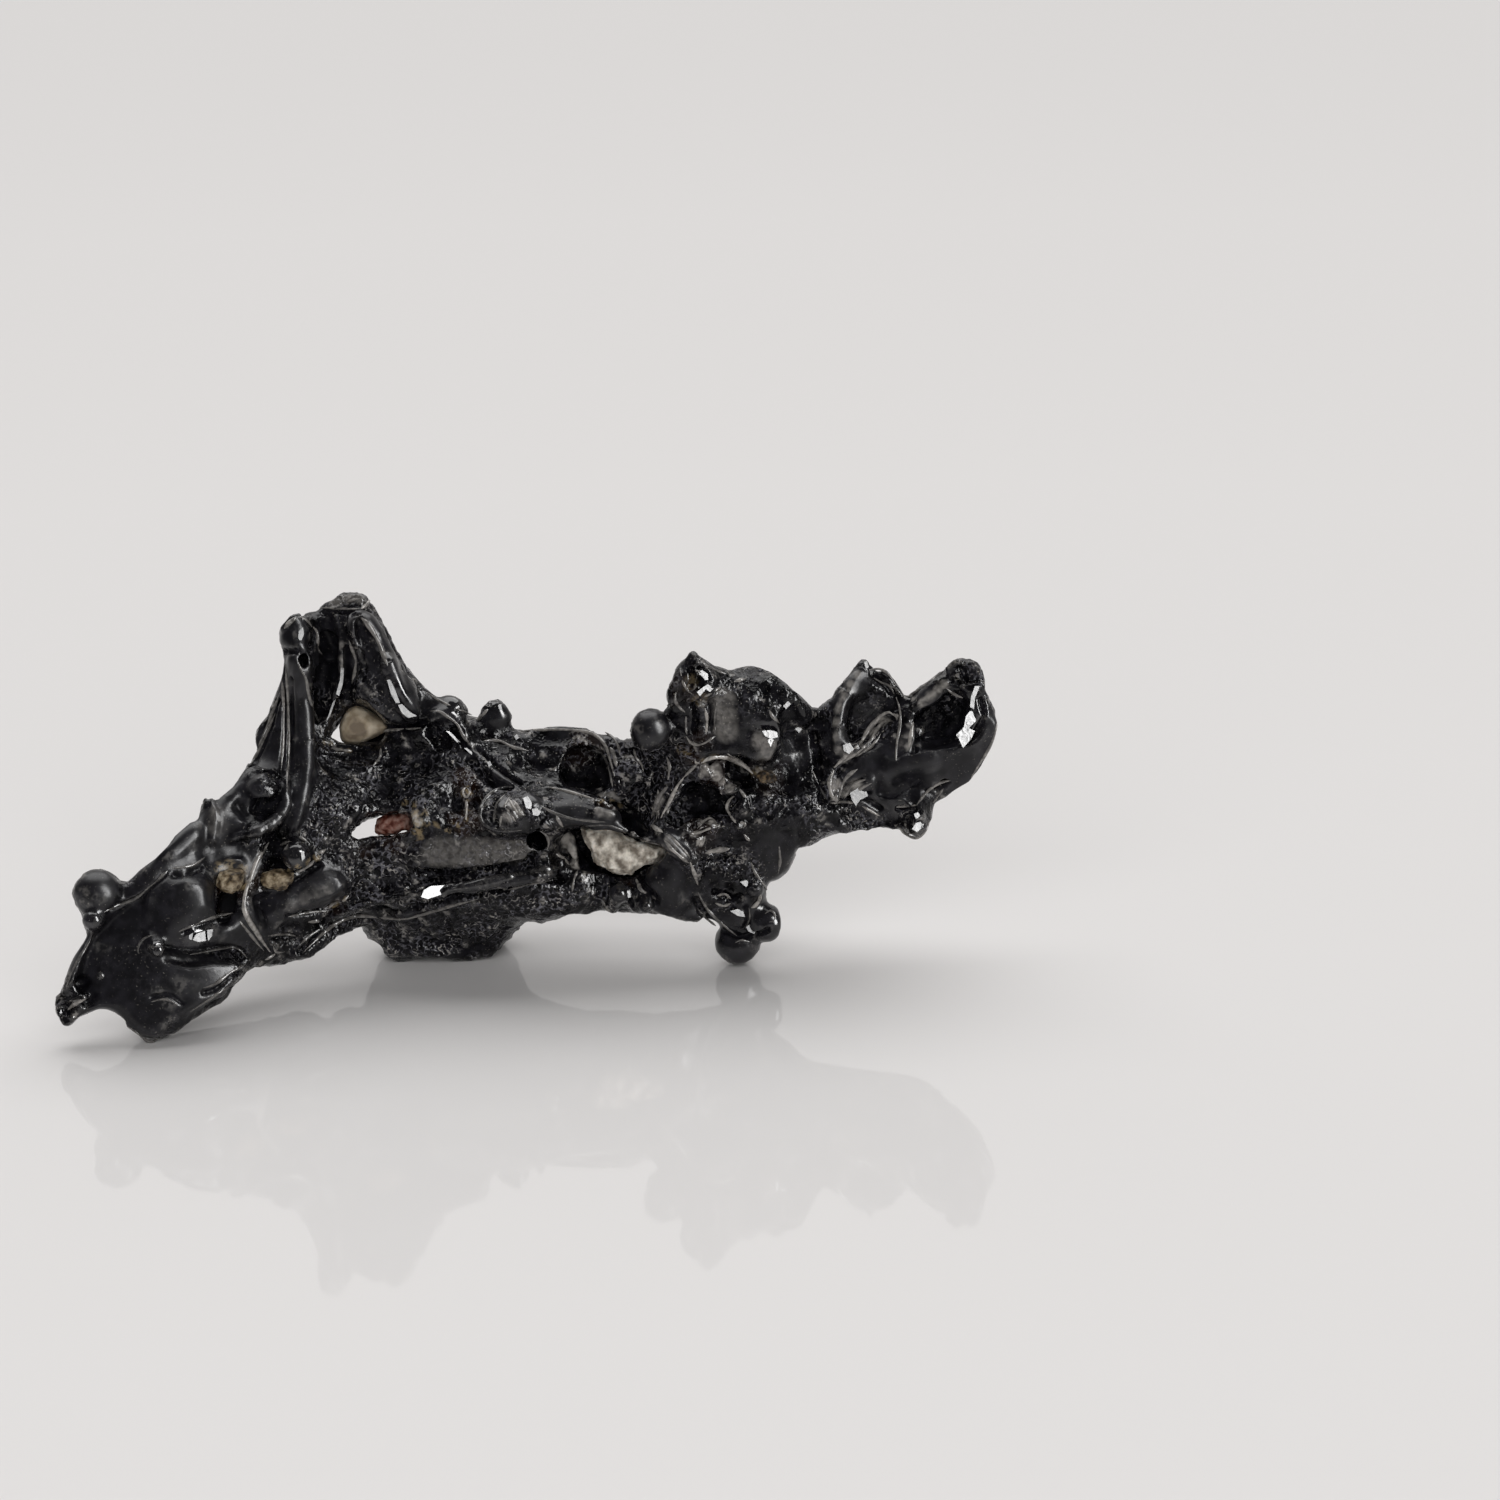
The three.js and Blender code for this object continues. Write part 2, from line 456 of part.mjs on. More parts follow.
function threadSolid({ path, radius }) {
  const sides = 4;
  const steps = 2 * (path.length - 1);
  const curve = new THREE.CatmullRomCurve3(path.map((point) => new THREE.Vector3(...point)));
  const section = new THREE.Shape();
  for (let i = 0; i < sides; i += 1) {
    const angle = i * 2 * Math.PI / sides;
    const point = [radius * Math.cos(angle), radius * Math.sin(angle)];
    if (i === 0) section.moveTo(...point);
    else section.lineTo(...point);
  }
  const geometry = new THREE.ExtrudeGeometry(section, { steps, bevelEnabled: false, extrudePath: curve });
  return toSolid(geometry);
}

function caveSolid({ at, size, tilt }) {
  const detail = size[0] > 0.5 ? 2 : 1;
  return toSolid(new THREE.IcosahedronGeometry(1, detail).scale(...size).rotateY(tilt).translate(...at));
}

function windowSolid({ at, reach, outline }) {
  const shape = new THREE.Shape(outline.map(([x, z]) => new THREE.Vector2(x, z)));
  const geometry = new THREE.ExtrudeGeometry(shape, { depth: 2 * reach, bevelEnabled: false, steps: 1 });
  geometry.translate(0, 0, -reach).rotateX(Math.PI / 2 + windowTilt).translate(...at);
  return toSolid(geometry);
}

function randomFrom(seed) {
  let state = seed;
  return () => {
    state = (state * 16807) % 2147483647;
    return state / 2147483647;
  };
}

function grainGeometry({ at, size, tilt, seed }, growth) {
  const random = randomFrom(seed * 7919);
  const points = [];
  const count = 26;
  for (let i = 0; i < count; i += 1) {
    const height = 1 - (2 * i + 1) / count;
    const turn = i * Math.PI * (3 - Math.sqrt(5));
    const girth = Math.sqrt(1 - height * height);
    const bulge = 0.82 + 0.3 * random();
    const direction = new THREE.Vector3(girth * Math.cos(turn), girth * Math.sin(turn), height);
    points.push(direction.clone().multiply(new THREE.Vector3(...size)).multiplyScalar(bulge)
      .addScaledVector(direction, growth));
  }
  return new ConvexGeometry(points).rotateY(tilt).translate(...at);
}

// ---- the glass ----

function floorCutter() {
  const [width, depth, height] = [60, 60, 10];
  return toSolid(new THREE.BoxGeometry(width, depth, height).translate(0, 0, -height / 2));
}

function glassGeometry() {
  let glass = toSolid(polygonise(meltDistance));
  for (const droplet of droplets) glass = glass.add(dropletSolid(droplet));
  for (const window of windows) glass = glass.subtract(windowSolid(window));
  for (const cave of caves) glass = glass.subtract(caveSolid(cave));
  for (const thread of threads) glass = glass.add(threadSolid(thread));
  for (const grain of grains) glass = glass.subtract(toSolid(grainGeometry(grain, grainClearance)));
  return toGeometry(glass.subtract(floorCutter()));
}

function piece(name, geometry, look) {
  const mesh = new THREE.Mesh(geometry, new THREE.MeshStandardMaterial(look));
  mesh.name = name;
  return mesh;
}

// ---- the specimen, with its origin under the middle of its box ----

const specimen = new THREE.Group();
specimen.add(piece('glass', glassGeometry(), glassLook));
for (const grain of grains) {
  const look = { color: grain.color, roughness: 0.7, metalness: 0 };
  specimen.add(piece(grain.name, grainGeometry(grain, 0), look));
}
const box = new THREE.Box3().setFromObject(specimen);
const middleOfBox = box.getCenter(new THREE.Vector3());
for (const mesh of specimen.children) mesh.geometry.translate(-middleOfBox.x, -middleOfBox.y, -box.min.z);

export default specimen;
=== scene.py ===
# Irghizite: black impact glass drawn out in ropes, folds and droplets, with mineral grains caught in it.
import math

import bpy
import numpy as np
from mathutils import Matrix, Vector
from mathutils.bvhtree import BVHTree


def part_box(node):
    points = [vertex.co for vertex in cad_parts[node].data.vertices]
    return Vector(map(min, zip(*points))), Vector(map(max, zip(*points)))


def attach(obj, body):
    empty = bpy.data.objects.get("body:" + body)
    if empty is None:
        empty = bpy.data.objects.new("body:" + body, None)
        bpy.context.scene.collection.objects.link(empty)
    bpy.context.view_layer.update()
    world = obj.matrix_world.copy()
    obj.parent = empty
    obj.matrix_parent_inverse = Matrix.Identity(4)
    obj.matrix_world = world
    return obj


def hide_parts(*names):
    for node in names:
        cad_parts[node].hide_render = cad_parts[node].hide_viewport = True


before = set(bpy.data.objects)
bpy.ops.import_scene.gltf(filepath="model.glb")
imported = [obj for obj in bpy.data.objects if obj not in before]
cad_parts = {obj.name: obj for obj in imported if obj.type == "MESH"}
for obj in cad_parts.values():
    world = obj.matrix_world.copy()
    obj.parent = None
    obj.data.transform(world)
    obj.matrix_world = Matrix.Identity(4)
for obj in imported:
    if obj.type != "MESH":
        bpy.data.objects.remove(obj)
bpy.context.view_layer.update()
mm = 0.001  # sculpting is done in millimetres, and each finished piece is brought to metres

# the specimen was laid out in a frame of its own, and the quartz chip ties that one to the part's frame
quartzMiddle = Vector((3.8056, -0.3432, 0))
quartzLow, quartzHigh = (Vector(corner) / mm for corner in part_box("quartz_grain"))
toPart = (quartzLow + quartzHigh) / 2 - quartzMiddle
toPart.z = 0


def laidOut(x, y, z):
    return Vector((x, y, z)) + toPart


# a front place is a column and row of a square picture 1500 wide, seen through the camera
view = {
    "place": (6.505, -75.914, 31.466),  # mm, laid-out frame
    "down": math.radians(19.39),
    "roll": math.radians(-1.01),
    "picture": 1500,
    "focal": 3849.96,  # in picture columns
    "sensor": 36,
}
viewTurn = Matrix.Rotation(math.pi / 2 - view["down"], 3, "X") @ Matrix.Rotation(view["roll"], 3, "Z")
viewPlace = laidOut(*view["place"])


def makeCamera():
    bpy.ops.object.camera_add(location=viewPlace * mm, rotation=viewTurn.to_euler())
    camera = bpy.context.object
    camera.name = "camera"
    camera.data.sensor_width = view["sensor"]
    camera.data.lens = view["sensor"] * view["focal"] / view["picture"]
    camera.data.clip_start = 1 * mm
    camera.data.clip_end = 4000 * mm
    bpy.context.scene.camera = camera


def frontRay(column, row):
    half = view["picture"] / 2
    ray = Vector(((column - half) / view["focal"], (half - row) / view["focal"], -1))
    return (viewTurn @ ray).normalized()


# an sRGB colour in hex, turned to linear
def toLinear(hexColour):
    channels = (int(hexColour[start:start + 2], 16) / 255 for start in (1, 3, 5))
    return (*(c / 12.92 if c <= 0.04045 else ((c + 0.055) / 1.055) ** 2.4 for c in channels), 1)


def pickOnly(*pieces):
    if bpy.context.object and bpy.context.object.mode != "OBJECT":
        bpy.ops.object.mode_set(mode="OBJECT")
    bpy.ops.object.select_all(action="DESELECT")
    for piece in pieces:
        piece.select_set(True)
    bpy.context.view_layer.objects.active = pieces[0]


def applied(piece, kind, **settings):
    pickOnly(piece)
    modifier = piece.modifiers.new(kind.lower(), kind)
    for name, value in settings.items():
        setattr(modifier, name, value)
    bpy.ops.object.modifier_apply(modifier=modifier.name)


def joined(pieces):
    pickOnly(*pieces)
    bpy.ops.object.join()
    return pieces[0]


def remeshed(piece, size, rounds):
    applied(piece, "REMESH", mode="VOXEL", voxel_size=size)
    applied(piece, "SMOOTH", iterations=rounds, factor=0.5)


def onWholeMesh(piece, action, **settings):
    pickOnly(piece)
    bpy.ops.object.mode_set(mode="EDIT")
    bpy.ops.mesh.select_all(action="SELECT")
    action(**settings)
    bpy.ops.object.mode_set(mode="OBJECT")


def vertexPlaces(piece):
    places = np.empty(len(piece.data.vertices) * 3)
    piece.data.vertices.foreach_get("co", places)
    return places.reshape(-1, 3)


def moveVertices(piece, places):
    piece.data.vertices.foreach_set("co", np.ravel(places))
    piece.data.update()


def setSkin(piece, skin, values):
    attribute = piece.data.attributes.new(skin, "FLOAT", "POINT")
    attribute.data.foreach_set("value", np.broadcast_to(values, len(piece.data.vertices)).astype(float))


def copyOfNode(node):
    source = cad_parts[node]
    mesh = source.data.copy()
    mesh.materials.clear()
    mesh.transform(Matrix.Scale(1 / mm, 4) @ source.matrix_world)
    piece = bpy.data.objects.new(node + "Copy", mesh)
    bpy.context.scene.collection.objects.link(piece)
    onWholeMesh(piece, bpy.ops.mesh.remove_doubles, threshold=0.0005)
    return piece


def ball(at, radius, stretch=(1, 1, 1), turn=(0, 0, 0), fine=4):
    bpy.ops.mesh.primitive_ico_sphere_add(subdivisions=fine, radius=radius, location=laidOut(*at),
                                          rotation=turn, scale=stretch)
    return bpy.context.object


def rope(points, radii, fine=6):
    curve = bpy.data.curves.new("rope", "CURVE")
    curve.dimensions = "3D"
    curve.resolution_u = fine
    curve.bevel_depth = 1
    curve.bevel_resolution = min(3, fine)
    curve.use_fill_caps = True
    spline = curve.splines.new("NURBS")
    spline.points.add(len(points) - 1)
    for knot, point, radius in zip(spline.points, points, radii):
        knot.co = (*point, 1)
        knot.radius = radius
    spline.use_endpoint_u = True
    spline.order_u = min(4, len(points))
    piece = bpy.data.objects.new("rope", curve)
    bpy.context.scene.collection.objects.link(piece)
    pickOnly(piece)
    bpy.ops.object.convert(target="MESH")
    return bpy.context.object


makeCamera()
print("camera set")


# the glass starts as a smooth mass with droplets and ropes joined to it, and is then sculpted with strokes
glass = {
    "coarse": 0.1,                  # mm, voxels that lose the facets of the solid
    "coarseRounds": 14,
    "joinVoxel": 0.07,
    "fineVoxel": 0.042,
    "faces": 196000,                # triangles kept
    "strokeGain": 1.35,
    "ropeLift": 0.45,               # share of its radius that a rope stands off the surface
    "edgeSink": 0.6,                # and that an edge rope is sunk in it
}

droplets = [                        # x, y, z and radius, mm
    ("left bump of the ridge", (0.25, 0.5, 5.55), 0.36),
    ("right bump of the ridge", (1.16, 0.9, 5.28), 0.37),
    ("cap of the left column", (-2.88, 0.1, 7.33), 0.33),
    ("ball left of the turret", (4.45, -0.55, 5.42), 0.46),
    ("turret head", (5.36, -0.45, 6.5), 0.46),
    ("lower drip ball", (6.17, -0.2, 0.49), 0.49),
    ("upper drip ball", (6.78, -0.35, 0.99), 0.42),
    ("drip bead", (6.56, -0.68, 1.9), 0.2),
    ("hanging bead", (4.13, -0.55, 1.55), 0.26),
    ("smaller hanging bead", (3.87, -0.66, 1.85), 0.19),
    ("tip of the third lobe", (8.9, 0.75, 6.3), 0.16),
    ("bead under the nub", (9.95, -0.62, 3.2), 0.22),
    ("bead on the back rib", (2.2, 2.3, 3.35), 0.32),
    ("ball on the back of the middle", (-1.3, 2, 2.9), 0.42),
    ("ball on the back of the right body", (7.2, 1.3, 3.1), 0.36),
    ("ball on the back of the wing", (-5.1, -1.5, 2.6), 0.32),
    ("bead on the back of the peak", (-1.9, 1.7, 6), 0.28),
]

backRopes = [                       # radius and its places in x, y, z, mm
    ("back rope", 0.17, [
        (-3.4, 1.1, 3.8), (-2.4, 1.57, 4.2), (-1, 2.03, 4.05), (0.5, 1.93, 4), (1.6, 2.4, 3.45),
        (2.6, 2.2, 3.1), (3.6, 2.1, 3.4), (4.8, 2.03, 3.8)]),
    ("back strand", 0.12, [
        (6, 1.55, 4.4), (7, 1.15, 4.75), (8, 1.67, 4.2), (9, 1.33, 4.6), (10, 1.03, 4.3)]),
]

frontRopes = [                      # radii at its two ends and its front places
    ("middle ridge", 0.07, 0.09, [(341, 636), (342, 660), (341, 678), (335, 696), (328, 714), (322, 734)]),
    ("diagonal ridge", 0.07, 0.09, [
        (474, 750), (484, 762), (494, 772), (505, 782), (520, 789), (530, 797), (540, 807)]),
    ("fold under the knob", 0.12, 0.1, [
        (288, 776), (288, 794), (283, 808), (273, 819), (259, 828), (243, 834)]),
    ("right column", 0.34, 0.46, [(354, 612), (366, 634), (380, 662), (394, 690), (410, 712)]),
    ("left column", 0.3, 0.12, [(298, 640), (300, 680), (304, 720), (306, 770), (298, 812), (290, 838)]),
    ("scoop by the first bump", 0.14, 0.12, [(427, 724), (437, 714), (452, 715), (462, 727), (468, 742)]),
    ("long tube fold", 0.15, 0.13, [(424, 895), (445, 890), (480, 886), (520, 880), (560, 872)]),
    ("column edge", 0.05, 0.07, [(298, 655), (301, 670), (308, 684), (311, 703), (316, 720), (322, 736)]),
    ("ridge over the window", 0.07, 0.06, [(530, 733), (552, 729), (578, 729), (597, 735), (606, 745)]),
    ("ridge below the window", 0.06, 0.07, [(545, 787), (565, 790), (582, 794), (598, 799)]),
    ("ridge right of the window", 0.07, 0.06, [(600, 748), (608, 762), (612, 780), (617, 794), (623, 805)]),
    ("waist strap", 0.12, 0.13, [(640, 818), (652, 827), (664, 838), (676, 850), (689, 861)]),
    ("left rim of the third lobe", 0.09, 0.1, [(861, 671), (850, 688), (842, 706), (837, 727), (837, 748)]),
    ("rim of the curled lobe", 0.1, 0.09, [(950, 688), (937, 697), (920, 708)]),
]

frontLumps = [                      # radius, share sunk in the surface, and its front place
    ("big side droplet", 0.5, 0.42, (97, 893)),
    ("small side droplet", 0.24, -0.1, (94, 920)),
    ("bead on the fold", 0.17, 0.05, (157, 949)),
    ("socketed droplet", 0.32, 0.18, (296, 856)),
    ("knob of the flank", 0.35, 0.42, (263, 789)),
    ("second bump of the ridge", 0.18, 0.5, (496, 707)),
    ("bead below the quartz", 0.25, 0.15, (619, 894)),
    ("bead by the blob", 0.16, 0.05, (646, 906)),
    ("crumb beside the red grain", 0.17, 0.4, (419, 823)),
    ("bead by the loop", 0.2, 0.4, (743, 808)),
    ("bead below the loop", 0.12, 0.3, (740, 826)),
    ("pale lump under the arch", 0.17, 0.4, (707, 773)),
    ("bead by the pit", 0.12, 0.3, (548, 827)),
    ("grit on the wing", 0.07, 0.2, (102, 976)),
    ("grit by the ridge", 0.07, 0.2, (516, 737)),
    ("grit below the ridge", 0.07, 0.2, (510, 770)),
    ("grit on the third lobe", 0.07, 0.2, (855, 696)),
    ("bead on the curled lobe", 0.09, 0.3, (984, 716)),
    ("upper lump on the knob", 0.16, 0.5, (264, 783)),
    ("bead by the lit wall", 0.12, 0.4, (548, 861)),
    ("second bead by the lit wall", 0.1, 0.4, (562, 858)),
    ("lump on the waist", 0.16, 0.4, (628, 896)),
    ("lower lump on the waist", 0.2, 0.4, (612, 905)),
    ("grit on the hump", 0.08, 0.2, (786, 705)),
    ("second grit on the hump", 0.08, 0.2, (798, 729)),
    ("crumb of the nub", 0.12, 0.3, (903, 812)),
    ("second crumb of the nub", 0.14, 0.3, (920, 818)),
    ("lump of the pale ridge", 0.1, 0.3, (710, 855)),
    ("second lump of the pale ridge", 0.1, 0.3, (728, 851)),
]

skirtFan = [                        # radius and its places in x, y, z, mm
    ("first fold of the skirt", 0.42, [(-1.45, -0.45, 2.1), (-1.3, 0.1, 1.2), (-1.1, 0.55, 0.42)]),
    ("second fold of the skirt", 0.45, [(-0.9, -0.62, 2.15), (-0.75, 0, 1.2), (-0.6, 0.55, 0.42)]),
    ("third fold of the skirt", 0.45, [(-0.3, -0.66, 2.2), (-0.2, -0.02, 1.2), (-0.1, 0.52, 0.44)]),
    ("fourth fold of the skirt", 0.45, [(0.3, -0.66, 2.25), (0.3, -0.02, 1.25), (0.35, 0.5, 0.46)]),
    ("fifth fold of the skirt", 0.42, [(0.95, -0.62, 2.3), (0.85, 0, 1.3), (0.8, 0.5, 0.5)]),
    ("sixth fold of the skirt", 0.38, [(1.6, -0.6, 2.3), (1.45, -0.2, 1.65)]),
    ("seventh fold of the skirt", 0.36, [(2.2, -0.5, 2.25), (2.1, -0.3, 1.75)]),
]

edgeRopes = [                       # radius and its front places: what carries the mass out to its outline
    ("crest", 0.28, [(163, 866), (178, 850), (190, 839), (204, 831)]),
    ("nub of the crest", 0.14, [(206, 806), (209, 812)]),
    ("flank", 0.28, [(222, 812), (236, 799), (249, 782), (258, 764)]),
    ("flank nub", 0.14, [(261, 731), (264, 738)]),
    ("top of the left column", 0.17, [(291, 624), (301, 622), (313, 620)]),
    ("top of the right column", 0.22, [(332, 608), (347, 603), (358, 602), (366, 608)]),
    ("right column", 0.28, [(364, 614), (376, 637), (389, 662), (404, 683), (424, 700), (442, 710)]),
    ("first bump", 0.2, [(446, 706), (459, 707)]),
    ("second bump", 0.16, [(490, 708), (502, 709)]),
    ("shoulder of the window", 0.24, [(596, 743), (611, 747), (626, 753)]),
    ("turret tip", 0.12, [(686, 668), (690, 660), (693, 655), (699, 661)]),
    ("turret top", 0.18, [(688, 664), (696, 660), (707, 669)]),
    ("turret side", 0.24, [(677, 702), (677, 690), (684, 674)]),
    ("hump", 0.33, [(752, 683), (768, 687), (786, 700), (800, 713), (815, 727)]),
    ("left edge of the third lobe", 0.22, [(823, 716), (838, 700), (850, 685), (859, 671)]),
    ("top of the third lobe", 0.18, [(872, 675), (885, 681), (896, 694), (905, 707)]),
    ("top of the curled lobe", 0.22, [(950, 673), (960, 667), (971, 669), (976, 681), (979, 696)]),
    ("right edge of the curled lobe", 0.18, [(989, 713), (990, 730), (982, 752), (970, 772)]),
    ("underside of the lobes", 0.28, [(832, 823), (858, 820), (886, 819)]),
    ("underside of the waist", 0.22, [(655, 905), (680, 911), (704, 914)]),
    ("root of the wing", 0.3, [(285, 950), (302, 947), (320, 936), (336, 925), (352, 917), (370, 921)]),
    ("lower edge of the wing", 0.24, [(166, 1029), (190, 1012), (215, 996), (230, 984)]),
    ("blunt tip", 0.22, [(60, 1003), (65, 1012), (70, 1020)]),
    ("hem of the skirt", 0.22, [(400, 952), (430, 948), (460, 951), (485, 951), (500, 938)]),
]

outline = {                         # front places round the whole specimen, to the right from the wing tip
    "wing tip": [
        (49, 1004), (50, 1000), (55, 997), (60, 993), (62, 985), (64, 976), (68, 966), (73, 957), (79, 948),
        (84, 941), (87, 936), (86, 931), (83, 926), (82, 920), (82, 916)],
    "big side droplet": [
        (77, 912), (73, 905), (71, 896), (72, 887), (76, 880), (82, 874), (90, 870), (99, 868), (108, 871),
        (115, 875), (120, 880), (123, 885)],
    "crest": [
        (127, 882), (133, 877), (140, 870), (148, 864), (155, 859), (160, 854), (168, 846), (175, 836),
        (183, 829), (190, 823), (198, 820), (200, 812), (201, 805), (205, 797), (211, 797), (214, 800),
        (218, 800), (222, 796), (226, 793), (233, 787), (238, 780), (245, 768), (252, 757), (258, 750)],
    "left column": [
        (256, 745), (254, 735), (257, 729), (262, 722), (268, 715), (270, 708), (274, 698), (278, 688),
        (281, 680), (283, 672), (284, 662), (283, 652), (279, 643), (278, 635), (280, 627), (285, 622),
        (290, 616), (295, 611), (299, 612), (304, 614), (310, 612), (319, 611)],
    "right column": [
        (320, 607), (325, 603), (332, 600), (340, 594), (346, 591), (353, 590), (361, 591), (366, 594),
        (371, 599), (376, 607), (381, 616), (386, 626), (391, 636), (396, 646), (401, 656), (407, 665),
        (413, 674), (420, 682), (428, 690), (437, 697)],
    "ridge": [
        (440, 697), (447, 695), (453, 695), (460, 697), (465, 702), (469, 710), (471, 713), (475, 712),
        (481, 708), (485, 704), (487, 700), (491, 697), (496, 696), (501, 698), (505, 704), (509, 710),
        (513, 717), (516, 724), (518, 729), (525, 730), (535, 728), (548, 727), (560, 726), (572, 727),
        (585, 728), (597, 730), (604, 731), (611, 733), (617, 737), (622, 741), (626, 739), (629, 733)],
    "ball and turret": [
        (631, 727), (631, 720), (633, 714), (638, 709), (645, 707), (653, 707), (661, 710), (668, 716),
        (673, 721), (675, 725), (677, 720), (676, 714), (671, 710), (667, 706), (665, 700), (665, 692),
        (668, 686), (672, 680), (674, 673), (674, 667), (679, 662), (686, 658), (689, 653), (692, 651),
        (697, 651), (702, 655), (709, 661), (715, 665)],
    "hump": [
        (718, 664), (723, 668), (731, 670), (738, 668), (747, 666), (755, 666), (763, 668), (771, 672),
        (779, 678), (787, 684), (793, 690), (800, 695), (806, 701), (812, 707), (815, 711)],
    "third lobe": [
        (820, 706), (828, 698), (836, 689), (844, 680), (851, 672), (855, 665), (859, 659), (864, 658),
        (868, 661), (870, 666), (875, 666), (881, 667), (886, 672), (892, 677), (897, 683), (901, 690),
        (906, 698)],
    "curled lobe": [
        (911, 694), (918, 687), (927, 682), (937, 674), (943, 668), (948, 662), (954, 658), (962, 656),
        (971, 657), (977, 659), (981, 665), (983, 672), (985, 680), (985, 690), (989, 697), (993, 706),
        (998, 715), (1000, 720), (998, 728), (995, 738), (991, 748), (986, 757), (981, 766), (976, 773),
        (972, 780), (965, 784), (958, 788), (952, 792), (946, 797), (940, 800), (935, 803)],
    "nub": [
        (933, 809), (932, 818), (928, 826), (925, 833), (919, 838), (912, 838), (906, 835), (901, 830),
        (897, 829)],
    "underside of the lobes": [
        (888, 830), (878, 832), (866, 834), (852, 834), (840, 833), (830, 836), (822, 839), (816, 843),
        (810, 846), (800, 848), (795, 849), (796, 855), (793, 862), (789, 870), (784, 878), (780, 881),
        (774, 881), (770, 882), (767, 887), (766, 892)],
    "drips": [
        (769, 897), (774, 902), (779, 910), (781, 919), (781, 928), (779, 936), (774, 942), (769, 946),
        (763, 947), (760, 949), (757, 953), (752, 959), (745, 963), (737, 964), (729, 963), (722, 958),
        (717, 952), (714, 945), (714, 938), (716, 931), (716, 927)],
    "underside of the waist": [
        (711, 925), (706, 924), (698, 924), (690, 924), (682, 922), (672, 918), (664, 915), (657, 914),
        (651, 917), (645, 920), (639, 920), (634, 917), (632, 914), (627, 915), (621, 917), (615, 920),
        (611, 921), (606, 918), (602, 916), (595, 917), (588, 915), (580, 914), (572, 914), (564, 917),
        (556, 920), (547, 923), (536, 926), (526, 928)],
    "skirt": [
        (516, 931), (513, 934), (512, 938), (507, 941), (503, 946), (501, 951), (497, 955), (492, 960),
        (482, 961), (470, 961), (458, 962), (450, 960), (441, 957), (434, 957), (424, 958), (414, 959),
        (408, 962), (401, 963), (394, 960), (388, 957), (384, 953), (383, 949), (380, 945), (374, 941),
        (366, 938), (362, 937), (359, 933)],
    "underside of the wing": [
        (352, 931), (346, 933), (340, 936), (332, 941), (324, 948), (316, 955), (309, 959), (300, 961),
        (294, 962), (286, 964), (277, 967), (266, 968), (255, 967), (249, 971), (244, 976), (240, 981),
        (237, 988), (234, 994), (228, 999), (222, 1003), (213, 1007), (205, 1012), (196, 1018), (187, 1024),
        (180, 1030), (173, 1036), (167, 1040)],
    "toe": [
        (160, 1041), (153, 1045), (148, 1042), (142, 1038), (134, 1032), (127, 1027), (125, 1020),
        (120, 1016), (114, 1012), (107, 1010), (100, 1010), (93, 1012), (86, 1015), (80, 1018), (76, 1023),
        (73, 1028), (68, 1030), (63, 1025), (58, 1018), (53, 1010)],
}

windowPlace = (0.36, -0.2, 0.17)    # m
toWindow = (0.47, -0.81, 0.34)      # a face turned this way shows the window

